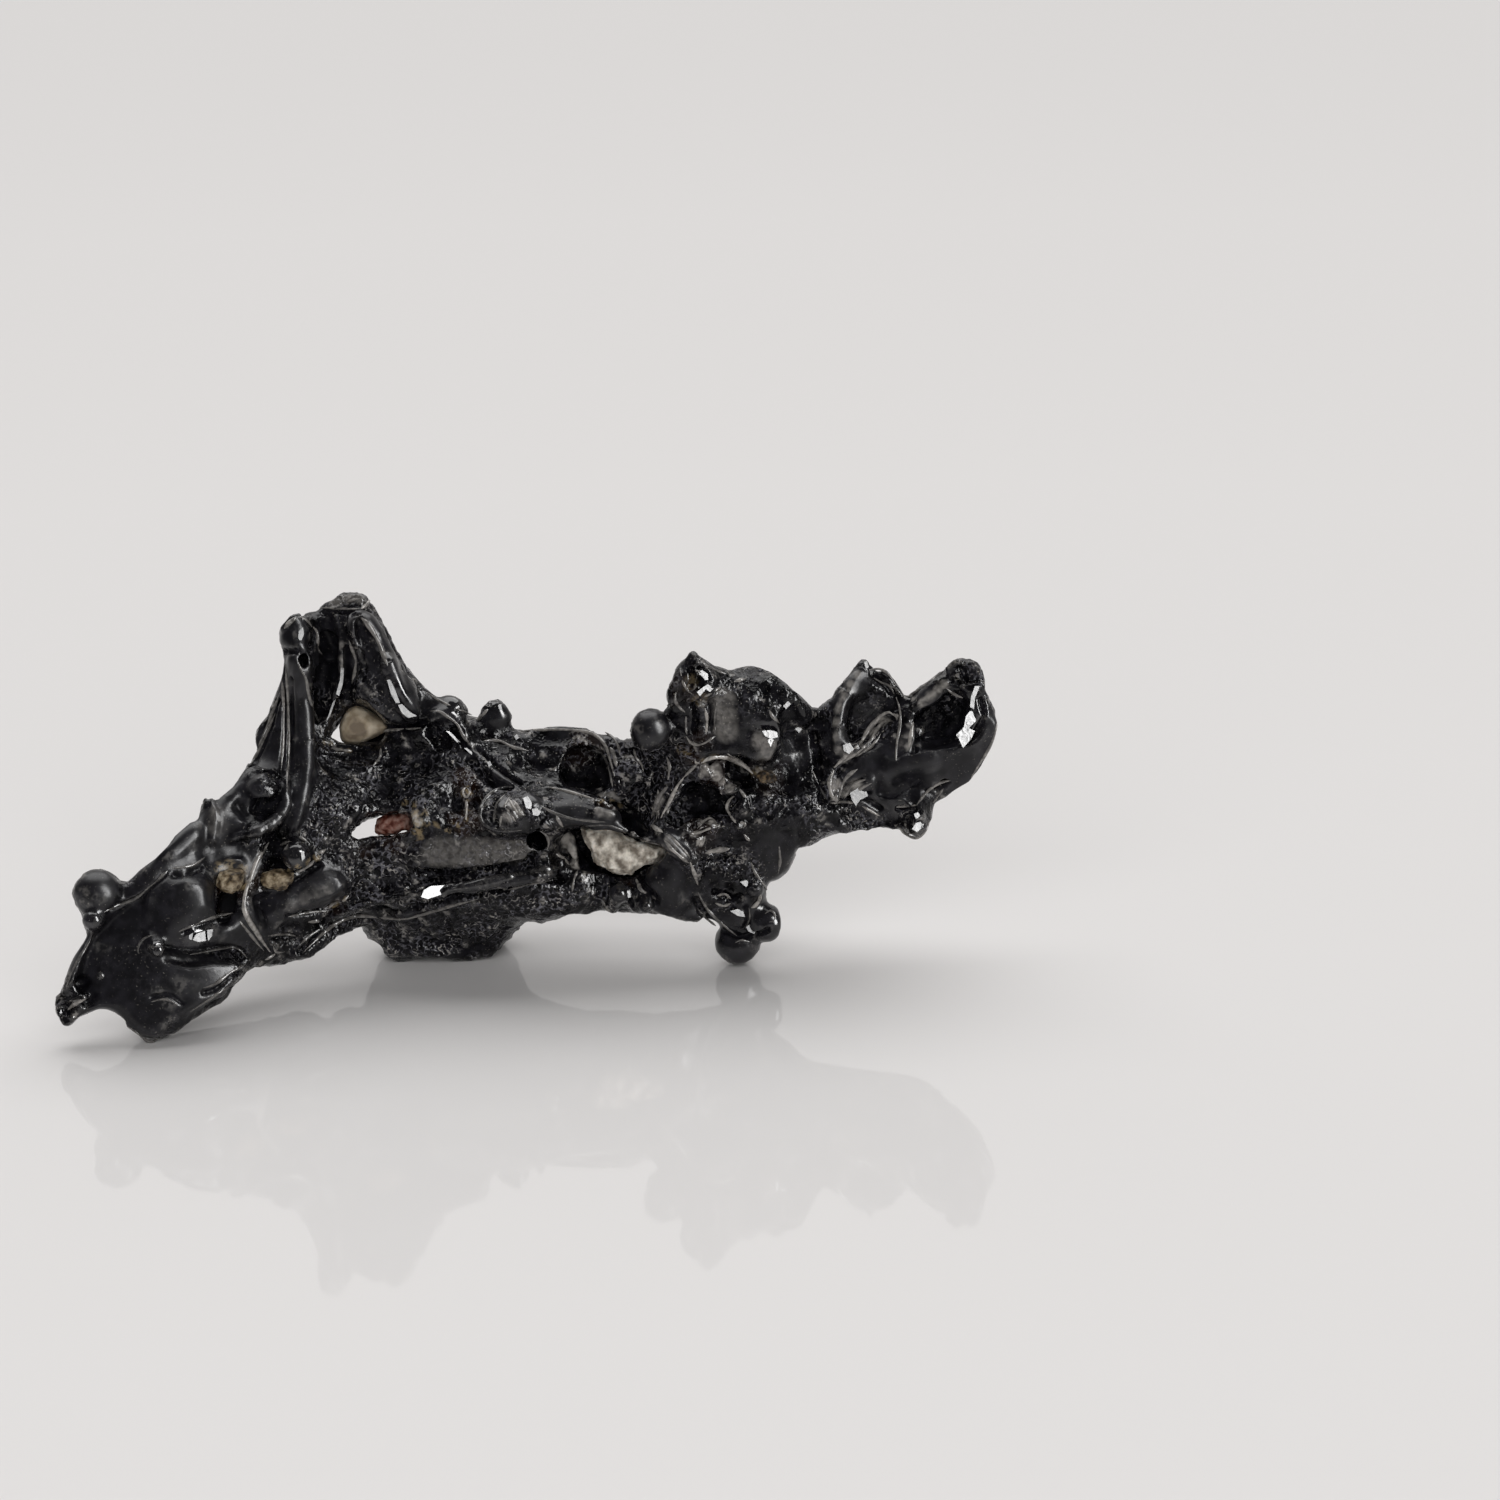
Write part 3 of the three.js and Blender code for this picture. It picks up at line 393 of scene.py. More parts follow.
panels = [                          # facing, radii across and upright in mm, how far out, feather, outline
    ("sheet of the wing", (0.05, -0.94, 0.33), 3.2, 8, 0.03, 8, [
        (83, 948), (92, 930), (108, 914), (130, 898), (150, 885), (150, 915), (150, 946), (170, 958),
        (190, 961), (215, 957), (238, 957), (250, 964), (240, 984), (224, 1000), (204, 1010), (186, 1020),
        (170, 1030), (165, 1036), (152, 1042), (138, 1034), (126, 1022), (118, 1010), (100, 1006),
        (86, 1010), (72, 1004), (72, 980)]),
    ("face of the right column", (0.03, -0.95, 0.28), 0.75, 6, 0.04, 5, [
        (353, 622), (360, 614), (367, 622), (377, 640), (387, 664), (394, 686), (404, 704), (418, 720),
        (402, 728), (386, 724), (374, 716), (364, 706), (352, 702), (350, 690), (356, 672), (358, 650),
        (354, 636)]),
    ("crease of the right column", toWindow, 2, 4, 0.03, 4, [
        (380, 662), (386, 664), (392, 676), (399, 690), (408, 704), (418, 713), (419, 720), (408, 720),
        (398, 712), (391, 700), (386, 688), (382, 674)]),
    ("lit wall", (-0.35, -0.8, 0.45), 3, 3, 0.04, 3, [
        (559, 836), (566, 832), (574, 830), (578, 840), (581, 856), (579, 868), (571, 864), (566, 856),
        (560, 850)]),
    ("tip of the wing", (-0.2, -0.9, 0.38), 2, 3, 0.02, 4, [
        (52, 1002), (62, 990), (72, 980), (86, 994), (84, 1004), (72, 1016), (64, 1022), (58, 1014)]),
    ("satin patch", (0.05, -0.95, 0.3), 3, 3, 0, 8, [
        (262, 890), (285, 882), (300, 876), (322, 868), (340, 870), (352, 884), (346, 895), (330, 903),
        (300, 913), (282, 924), (268, 938), (258, 925), (250, 905), (252, 895)]),
    ("side of the left cleft", (0.3, -0.9, 0.3), 2, 2, 0, 5, [
        (204, 860), (214, 852), (240, 852), (250, 856), (246, 868), (240, 866), (222, 866), (214, 876),
        (206, 872)]),
    ("hollow of the third lobe", (0.15, -0.98, -0.05), -2, 3, -0.03, 9, [
        (862, 677), (872, 679), (886, 690), (892, 702), (894, 712), (882, 714), (872, 722), (865, 732),
        (860, 742), (852, 746), (845, 742), (843, 725), (846, 706), (853, 690)]),
    ("hollow of the curled lobe", (0.2, -0.97, 0), -2, 3, -0.12, 5, [
        (916, 713), (928, 706), (946, 694), (960, 701), (969, 706), (965, 714), (962, 727), (954, 736),
        (938, 741), (924, 744), (916, 738)]),
    ("face of the lobes", (0.08, -0.97, -0.12), 4, 5, 0.03, 8, [
        (872, 772), (884, 752), (896, 758), (905, 752), (925, 748), (945, 744), (960, 742), (974, 736),
        (982, 722), (992, 722), (990, 742), (982, 760), (970, 777), (952, 781), (935, 784), (922, 795),
        (908, 803), (890, 805), (872, 800)]),
    ("plain band", (0.02, -0.97, 0.22), 6, 4, 0, 6, [
        (428, 842), (440, 838), (480, 838), (522, 836), (528, 850), (528, 864), (500, 870), (450, 871),
        (426, 868)]),
    ("flank of the hump", (-0.25, -0.95, 0.2), 2, 3, 0, 6, [
        (718, 698), (730, 690), (742, 700), (742, 730), (730, 745), (718, 740)]),
    ("shoulder of the hump", (0.35, -0.92, 0.2), 1.2, 2, 0.05, 6, [
        (742, 722), (760, 722), (778, 726), (782, 745), (774, 765), (755, 762), (742, 745)]),
    ("dome of the wing", (0.02, -0.95, 0.3), 0.95, 2.4, 0.1, 15, [
        (140, 934), (142, 900), (162, 880), (184, 869), (206, 872), (217, 884), (218, 914), (198, 924),
        (174, 934), (158, 940)]),
]

scrapes = [                         # front place, reach and depth in mm, and the way that the flat faces
    ("blunt tip", (66, 1012), 0.45, 0.1, (-0.1, -0.95, 0.2)),
    ("broken top", (347, 600), 0.55, 0.05, (-0.1, -0.5, 0.85)),
    ("lower face of the lobes", (940, 765), 1.2, 0.12, (0.05, -0.95, -0.25)),
    ("root of the lobes", (880, 800), 0.9, 0.1, (-0.05, -0.95, -0.2)),
]

windows = [                         # depth cut in mm, radius of its rim, and front places round it
    ("peak window", 6, 0.16, [
        (329, 736), (336, 729), (342, 721), (346, 714), (351, 709), (358, 707), (365, 710), (372, 714),
        (380, 720), (388, 728), (377, 731), (368, 736), (360, 742), (348, 744), (336, 742)]),
    ("slot", 6, 0.16, [
        (351, 831), (358, 825), (366, 820), (376, 817), (386, 814), (398, 813), (406, 813), (410, 818),
        (411, 827), (407, 833), (400, 833), (391, 837), (380, 836), (370, 837), (360, 840), (351, 838)]),
    ("waist pocket", 0.75, 0.1, [
        (573, 831), (584, 827), (612, 826), (627, 836), (642, 841), (658, 843), (668, 848), (664, 858),
        (650, 866), (636, 872), (632, 877), (618, 876), (603, 871), (592, 868), (581, 855)]),
    ("ridge pocket", 0.7, 0.1, [
        (561, 765), (564, 755), (571, 748), (582, 745), (595, 746), (603, 751), (608, 762), (610, 776),
        (608, 785), (598, 788), (584, 789), (571, 788), (564, 783), (561, 774)]),
    ("cave under the arch", 0.55, 0.05, [
        (704, 764), (714, 760), (728, 760), (741, 765), (750, 774), (753, 784), (745, 788), (736, 783),
        (726, 776), (716, 768)]),
    ("big cave", 0.6, 0.06, [
        (681, 788), (690, 783), (704, 784), (718, 791), (733, 796), (726, 804), (727, 813), (718, 812),
        (708, 811), (698, 814), (688, 822), (676, 828), (664, 820), (672, 806)]),
    ("eye of the left column", 0.3, 0.07, [
        (299, 657), (303, 652), (308, 656), (308, 664), (304, 669), (300, 665)]),
    ("pit by the knob", 0.6, 0.05, [
        (527, 836), (533, 832), (541, 834), (546, 840), (545, 848), (539, 850), (534, 846), (528, 848)]),
    ("cleft of the wing", 0.5, 0.06, [
        (220, 893), (226, 891), (238, 892), (238, 904), (235, 913), (224, 916), (217, 917)]),
]

caves = [                           # middle, half sizes in mm and tilt
    ("back cave of the waist", (3.3, 1.95, 2.55), (0.6, 0.6, 0.38), 0.2),
    ("back cave of the middle", (-2.6, 1.35, 2.8), (0.4, 0.5, 0.5), 0),
]


def surfaceOf(piece):
    return BVHTree.FromObject(piece, bpy.context.evaluated_depsgraph_get())


# a smooth line through front places, as front places a few columns apart
def smoothLine(places, spacing=2.5):
    knots = [Vector(place) for place in places]
    knots = [2 * knots[0] - knots[1]] + knots + [2 * knots[-1] - knots[-2]]
    line = []
    for before, start, end, after in zip(knots, knots[1:], knots[2:], knots[3:]):
        steps = max(2, round((end - start).length / spacing))
        slope = end - before
        bend = 2 * before - 5 * start + 4 * end - after
        twist = 3 * start - before - 3 * end + after
        for step in range(steps):
            share = step / steps
            line.append(start + 0.5 * (slope * share + bend * share ** 2 + twist * share ** 3))
    return line + [knots[-2]]


# depth below the camera along each front ray, with jumps over edges evened out
def tracedDepths(surface, line):
    depths = []
    for column, row in line:
        hit = surface.ray_cast(viewPlace, frontRay(column, row))
        depths.append(hit[3] if hit[0] else np.nan)
    depths = np.array(depths, float)
    seen = np.flatnonzero(~np.isnan(depths))
    depths = np.interp(np.arange(len(depths)), seen, depths[seen])
    reach = 4
    padded = np.pad(depths, reach, mode="edge")
    return np.array([np.median(padded[i:i + 2 * reach + 1]) for i in range(len(depths))])


def frontRope(surface, start, end, places, lift):
    line = smoothLine(places, 6)
    depths = tracedDepths(surface, line)
    shares = np.linspace(0, 1, len(line))
    radii = (start + (end - start) * shares) * np.clip(6 * np.minimum(shares, 1 - shares) + 0.45, 0, 1)
    points = [viewPlace + frontRay(*place) * (depth - lift * radius)
              for place, depth, radius in zip(line, depths, radii)]
    return rope(points, radii)


def frontLump(surface, radius, sunk, place):
    around = [Vector(place) + 12 * Vector((math.cos(turn), math.sin(turn))) for turn in range(7)]
    depth = np.median(tracedDepths(surface, [place] + around))
    at = viewPlace + frontRay(*place) * (depth - radius * (1 - 2 * sunk))
    return ball(at - toPart, radius, fine=3)


# a block whose outline shows at the front places, between two distances from the front
def frontBlock(places, near, far):
    bpy.ops.mesh.primitive_circle_add(vertices=len(places), radius=1, fill_type="NGON")
    block = bpy.context.object
    for vertex, place in zip(block.data.vertices, places):
        vertex.co = viewPlace + frontRay(*place) * near
    bpy.ops.object.mode_set(mode="EDIT")
    bpy.ops.mesh.select_all(action="SELECT")
    bpy.ops.mesh.extrude_region_move()
    bpy.ops.transform.resize(value=(far / near,) * 3, center_override=viewPlace)
    onWholeMesh(block, bpy.ops.mesh.normals_make_consistent, inside=False)
    return block


def windowRim(surface, radius, places):
    line = smoothLine(places + places[:2], 4)
    depths = tracedDepths(surface, line)
    points = [viewPlace + frontRay(*place) * (depth + 0.7 * radius) for place, depth in zip(line, depths)]
    return rope(points, [radius] * len(points))


def windowCutter(surface, reach, places):
    depth = np.median(tracedDepths(surface, places))
    return frontBlock(places, depth - 1, depth + reach)


def frontsOf(places):
    seen = (places - np.array(viewPlace)) @ np.array(viewTurn)
    fronts = np.array([1, -1]) * seen[:, :2] / -seen[:, 2:] * view["focal"] + view["picture"] / 2
    return fronts, seen


# which front places lie inside a closed outline, their closest place on it and how far that is
def againstOutline(fronts, edge):
    edge = np.array(edge, float)
    inside = np.zeros(len(fronts), bool)
    closest = np.full(len(fronts), np.inf)
    targets = fronts.copy()
    for start, end in zip(edge, np.roll(edge, -1, axis=0)):
        spans = (start[1] > fronts[:, 1]) != (end[1] > fronts[:, 1])
        crossing = start[0] + (fronts[:, 1] - start[1]) * (end[0] - start[0]) / ((end[1] - start[1]) or 1)
        inside ^= spans & (fronts[:, 0] < crossing)
        along = np.clip((fronts - start) @ (end - start) / ((end - start) @ (end - start)), 0, 1)
        foot = start + along[:, None] * (end - start)
        gap = np.hypot(*(fronts - foot).T)
        targets = np.where((gap < closest)[:, None], foot, targets)
        closest = np.minimum(gap, closest)
    return inside, targets, closest


# the body is kept to what shows inside the outline: what stands out past it is pushed in to it
def trimmed(piece):
    fronts, seen = frontsOf(vertexPlaces(piece))
    edge = [place for part in outline.values() for place in part]
    inside, targets, gap = againstOutline(fronts, edge)
    targets[inside] = fronts[inside]
    seen[:, :2] += (targets - fronts) * np.array([1, -1]) / view["focal"] * -seen[:, 2:]
    moveVertices(piece, seen @ np.array(viewTurn).T + np.array(viewPlace))


hidden = 0.12                       # mm, what lies this far behind the surface doesn't show


# each panel brings what shows inside its outline to one smooth curved face, which fits it best
def panelled(piece):
    eye = np.array(viewPlace)
    for name, facing, acrossRadius, uprightRadius, out, feather, edge in panels:
        surface = surfaceOf(piece)
        places = vertexPlaces(piece)
        fronts, seen = frontsOf(places)
        inside, targets, gap = againstOutline(fronts, edge)
        chosen = np.flatnonzero(inside)
        rays = places[chosen] - eye
        far = np.sqrt((rays ** 2).sum(1))
        rays /= far[:, None]
        hits = [surface.ray_cast(viewPlace, Vector(ray)) for ray in rays]
        shows = np.array([bool(hit[0]) and hit[3] > distance - hidden for hit, distance in zip(hits, far)])
        chosen, rays, far = chosen[shows], rays[shows], far[shows]
        normal = np.array(Vector(facing).normalized())
        across = np.cross(normal, (0, 0, -1))
        across /= np.sqrt(across @ across)
        upright = np.cross(across, normal)
        middle = eye + np.array(frontRay(*np.array(edge, float).mean(0))) * np.median(far)
        flat = (middle - eye) @ normal / (rays @ normal)
        spot = eye + rays * flat[:, None] - middle
        drop = (spot @ across) ** 2 / (2 * acrossRadius) + (spot @ upright) ** 2 / (2 * uprightRadius)
        target = flat + drop / -(rays @ normal)
        target += np.median(far - target) - out
        share = np.clip(gap[chosen] / feather, 0, 1)
        share = share * share * (3 - 2 * share)
        places[chosen] += rays * ((target - far) * share)[:, None]
        moveVertices(piece, places)


def cut(piece, cutter):
    applied(piece, "BOOLEAN", operation="DIFFERENCE", solver="FAST", object=cutter)
    bpy.data.objects.remove(cutter)


def massOfGlass():
    body = copyOfNode("glass")
    remeshed(body, glass["coarse"], glass["coarseRounds"])
    surface = surfaceOf(body)
    additions = [ball(at, radius) for name, at, radius in droplets]
    additions += [rope([laidOut(*point) for point in path], [radius] * len(path))
                  for name, radius, path in backRopes + skirtFan]
    additions += [windowRim(surface, radius, places) for name, reach, radius, places in windows]
    additions += [frontRope(surface, radius, radius, places, -glass["edgeSink"])
                  for name, radius, places in edgeRopes]
    additions += [frontRope(surface, start, end, places, glass["ropeLift"])
                  for name, start, end, places in frontRopes]
    additions += [frontLump(surface, *settings) for name, *settings in frontLumps]
    body = joined([body] + additions)
    body.name = "glassBody"
    remeshed(body, glass["joinVoxel"], 1)
    trimmed(body)
    panelled(body)
    for name, reach, radius, places in windows:
        cut(body, windowCutter(surface, reach, places))
    for name, at, size, tilt in caves:
        cut(body, ball(at, 1, size, (0, tilt, 0)))
    remeshed(body, glass["fineVoxel"], 1)
    return body


strokes = [                         # width and height in mm (a groove is below 0), then front places
    ("double edge, lower", 0.07, -0.06, [(165, 875), (154, 885), (140, 897), (122, 904), (112, 910)]),
    ("below the upper lip", 0.1, -0.08, [(174, 875), (188, 873), (202, 868)]),
    ("under the top lip", 0.08, -0.1, [(184, 932), (200, 927), (215, 923), (228, 918)]),
    ("below the fold", 0.12, -0.16, [
        (160, 948), (172, 951), (188, 954), (206, 953), (222, 950), (236, 951), (246, 959)]),
    ("above the crescent", 0.07, -0.06, [(152, 997), (162, 995), (172, 996), (182, 1003)]),
    ("layer edge, second", 0.08, -0.09, [(204, 993), (215, 990), (226, 982), (241, 972)]),
    ("layer edge, fourth", 0.07, -0.07, [(208, 1006), (222, 997), (236, 985), (248, 974)]),
    ("glossy edge of the tip", 0.12, 0.12, [(66, 1004), (75, 1001), (86, 996)]),
    ("hollow of the tip", 0.18, -0.12, [(78, 984), (84, 982)]),
    ("tip face", 0.16, -0.1, [(64, 1010), (70, 1009)]),
    ("light crest", 0.4, 0.1, [(150, 872), (172, 850), (195, 832), (216, 812)]),
    ("ridge of the crest", 0.12, 0.08, [(215, 805), (217, 820), (213, 838)]),
    ("hollow of the wing root", 0.5, -0.14, [(218, 850), (238, 846)]),
    ("nub of the crest", 0.12, 0.1, [(204, 799), (208, 806)]),
    ("socket of the droplet", 0.28, -0.22, [(276, 846), (272, 858), (278, 867)]),
    ("gap round the droplet", 0.07, -0.1, [
        (283, 846), (297, 839), (310, 848), (313, 860), (304, 870), (290, 870)]),
    ("below the pale streak", 0.08, -0.1, [(286, 888), (299, 879), (311, 871), (320, 865)]),
    ("below the satin patch", 0.1, -0.12, [(288, 916), (305, 914), (326, 910), (336, 905)]),
    ("boundary of the skirt, groove", 0.1, -0.12, [
        (318, 928), (332, 916), (350, 909), (370, 908), (400, 912), (422, 908), (450, 901), (478, 894)]),
    ("lower rib, second", 0.08, -0.1, [(300, 952), (310, 944), (322, 934)]),
    ("lower rib, fourth", 0.08, -0.08, [(274, 941), (288, 938), (300, 940)]),
    ("bag under the droplet", 0.4, 0.08, [(284, 905), (268, 915)]),
    ("cup of the knob", 0.12, 0.08, [
        (250, 777), (260, 772), (272, 773), (281, 780), (282, 795), (275, 806)]),
    ("pit of the knob", 0.2, -0.25, [(257, 806), (264, 804)]),
    ("speckled hollow of the knob", 0.2, -0.1, [(240, 806), (246, 814)]),
    ("fold beside the knob", 0.16, 0.1, [
        (289, 775), (288, 795), (281, 813), (270, 824), (254, 833), (236, 838)]),
    ("facet of the flank", 0.12, -0.08, [(277, 700), (270, 722), (262, 744), (253, 764)]),
    ("between the parallel ridges", 0.06, -0.1, [(284.5, 668), (284.5, 700), (284, 740), (282, 775)]),
    ("right of the parallel ridges", 0.09, -0.1, [(291, 680), (291, 720), (291, 760), (292, 800)]),
    ("facet of the cap", 0.12, 0.07, [(284, 629), (289, 622), (297, 616)]),
    ("neck of the cap", 0.08, -0.1, [(283, 652), (292, 651), (300, 652)]),
    ("oval pit", 0.13, -0.17, [(304, 657), (303, 665)]),
    ("hollow of the columns", 0.2, -0.16, [(322, 672), (318, 700), (318, 715)]),
    ("bay between the columns", 0.22, -0.24, [(326, 640), (329, 665), (326, 690), (318, 712)]),
    ("dark bay at the top", 0.2, -0.18, [(327, 620), (330, 640), (330, 655)]),
    ("between the short ridges", 0.1, -0.14, [(347, 650), (348, 668), (347, 684)]),
    ("right of the short ridge", 0.1, -0.14, [(360, 652), (362, 668), (362, 680)]),
    ("crest of the right column", 0.3, 0.12, [(387, 664), (393, 682), (400, 700), (412, 714)]),
    ("broken top, groove", 0.07, -0.09, [(323, 612), (340, 611), (358, 613)]),
    ("broken top, hollow", 0.1, -0.07, [(334, 603), (345, 599)]),
    ("shadow of the right column", 0.1, -0.14, [(384, 727), (398, 728), (414, 727), (426, 720)]),
    ("under the ledge", 0.08, -0.1, [(332, 755), (345, 756), (356, 756)]),
    ("hollow below the column", 0.45, -0.14, [(396, 762), (420, 760)]),
    ("hollow by the bump", 0.25, -0.18, [(436, 732), (442, 742)]),
    ("groove by the glint", 0.08, -0.12, [(452, 730), (461, 738), (466, 748)]),
    ("above the diagonal", 0.1, -0.1, [(478, 748), (492, 760), (505, 773), (520, 781)]),
    ("below the diagonal", 0.12, -0.16, [(470, 760), (482, 773), (496, 784), (508, 786)]),
    ("hollow beside the window", 0.3, -0.08, [(520, 762), (535, 765)]),
    ("rough hollow of the middle", 0.5, -0.2, [(445, 805), (462, 800)]),
    ("left of the stained rib", 0.1, -0.14, [(458, 788), (458, 815)]),
    ("right of the stained rib", 0.1, -0.16, [(476, 786), (476, 815)]),
    ("striation, first", 0.05, -0.07, [(510, 800), (514, 808), (520, 817)]),
    ("striation, second", 0.05, -0.07, [(507, 809), (512, 817), (516, 825)]),
    ("striation, third", 0.05, -0.06, [(504, 817), (508, 825)]),
    ("striation, fourth", 0.05, -0.06, [(512, 795), (518, 803), (524, 812)]),
    ("left hollow of the knob", 0.12, -0.14, [(494, 800), (490, 812), (494, 823)]),
    ("pit beside the band", 0.16, -0.3, [(535, 838), (540, 845)]),
    ("second pit beside the band", 0.14, -0.22, [(533, 857), (531, 864)]),
    ("under the pale band", 0.12, -0.2, [(420, 873), (450, 872), (485, 871), (525, 866)]),
    ("above the tube", 0.1, -0.14, [(424, 886), (450, 881), (485, 877), (530, 871)]),
    ("below the tube", 0.1, -0.14, [(430, 902), (455, 897), (490, 892), (530, 886), (560, 880)]),
    ("line below the tube", 0.06, -0.08, [(510, 889), (530, 884), (553, 880)]),
    ("groove of the lit wall", 0.06, -0.12, [(561, 849), (568, 856), (574, 864)]),
    ("cleft below the wedge", 0.11, -0.25, [(600, 803), (610, 805), (620, 807)]),
    ("facet below the cleft", 0.16, 0.1, [(598, 811), (612, 815)]),
    ("crumpled wall, first", 0.1, -0.14, [(634, 750), (642, 762), (646, 774)]),
    ("crumpled wall, second", 0.1, -0.16, [(652, 762), (655, 776), (652, 790)]),
    ("crumpled wall, fifth", 0.12, -0.18, [(640, 786), (634, 798), (640, 808)]),
    ("crumpled wall, seventh", 0.1, -0.15, [(680, 748), (690, 752)]),
    ("blob", 0.5, 0.1, [(664, 885), (672, 900)]),
    ("edge of the blob", 0.1, -0.14, [(650, 862), (642, 870), (642, 884), (654, 893), (656, 902)]),
    ("split of the blob", 0.07, -0.1, [(635, 878), (634, 890), (632, 905)]),
    ("root of the drip, groove", 0.09, -0.12, [(696, 900), (704, 913), (716, 926)]),
    ("between the drip balls", 0.08, -0.12, [(724, 931), (740, 936), (760, 934), (768, 930)]),
    ("drip crease", 0.08, -0.1, [(746, 908), (748, 920), (744, 930)]),
    ("rag above the drip", 0.1, -0.15, [(716, 893), (728, 898), (740, 898)]),
    ("under the pale ridge", 0.1, -0.12, [(702, 862), (716, 861), (732, 859)]),
    ("crumbs of the cave floor, second", 0.07, -0.12, [(692, 828), (700, 822), (706, 818)]),
    ("crumbs of the cave floor, fourth", 0.07, -0.12, [(684, 838), (696, 835), (708, 830)]),
    ("strap of the arch", 0.2, 0.2, [(716, 768), (716, 777), (724, 785), (735, 790)]),
    ("groove of the strap", 0.06, -0.1, [(718, 779), (727, 783), (737, 785)]),
    ("turret head, groove", 0.07, -0.12, [(699, 668), (708, 672), (711, 680)]),
    ("turret head, inner pit", 0.12, -0.16, [(702, 679), (700, 683)]),
    ("turret head, second rag", 0.08, -0.12, [(690, 668), (693, 678), (691, 686)]),
    ("turret bulge", 0.3, 0.1, [(672, 700), (676, 708)]),
    ("turret stalk, groove", 0.09, -0.14, [(694, 706), (696, 720), (695, 732)]),
    ("turret stalk, second groove", 0.08, -0.12, [(712, 702), (713, 716), (711, 728)]),
    ("hollow right of the hump", 0.35, -0.18, [(790, 718), (794, 740)]),
    ("shadow below the hump", 0.3, -0.1, [(760, 786), (790, 786)]),
    ("step before the third lobe", 0.12, -0.12, [(814, 735), (818, 770), (824, 800)]),
    ("second top of the third lobe", 0.08, -0.1, [(876, 676), (886, 684), (892, 692)]),
    ("flake edge, second", 0.07, -0.12, [(893, 718), (882, 722), (872, 733), (862, 744)]),
    ("flake edge, fourth", 0.07, -0.11, [(872, 745), (860, 754), (848, 763), (838, 772)]),
    ("flake edge, sixth", 0.07, -0.11, [(862, 780), (850, 786), (842, 798)]),
    ("flake edge, eighth", 0.07, -0.1, [(870, 796), (860, 802), (852, 806)]),
    ("below the flakes", 0.1, -0.1, [(832, 806), (845, 806), (862, 804), (880, 814)]),
    ("lower face of the lobes", 0.35, 0.08, [(890, 775), (930, 765)]),
    ("beside the pale rib", 0.08, -0.12, [(920, 724), (918, 740), (914, 752)]),
    ("groove of the lip", 0.08, -0.12, [(982, 700), (984, 716), (976, 732), (966, 742)]),
    ("lumpy top, first", 0.12, 0.1, [(950, 670), (958, 663)]),
    ("lumpy top, second", 0.1, -0.14, [(962, 668), (966, 680)]),
    ("lumpy top, third", 0.12, 0.12, [(972, 664), (978, 672)]),
    ("lumpy top, fourth", 0.1, -0.12, [(952, 680), (958, 684)]),
    ("small flap, hollow", 0.12, -0.2, [(946, 788), (940, 796)]),
    ("nub, groove", 0.08, -0.16, [(898, 818), (908, 820), (914, 815)]),
    ("nub, second groove", 0.08, -0.14, [(904, 826), (912, 830), (920, 824)]),
]

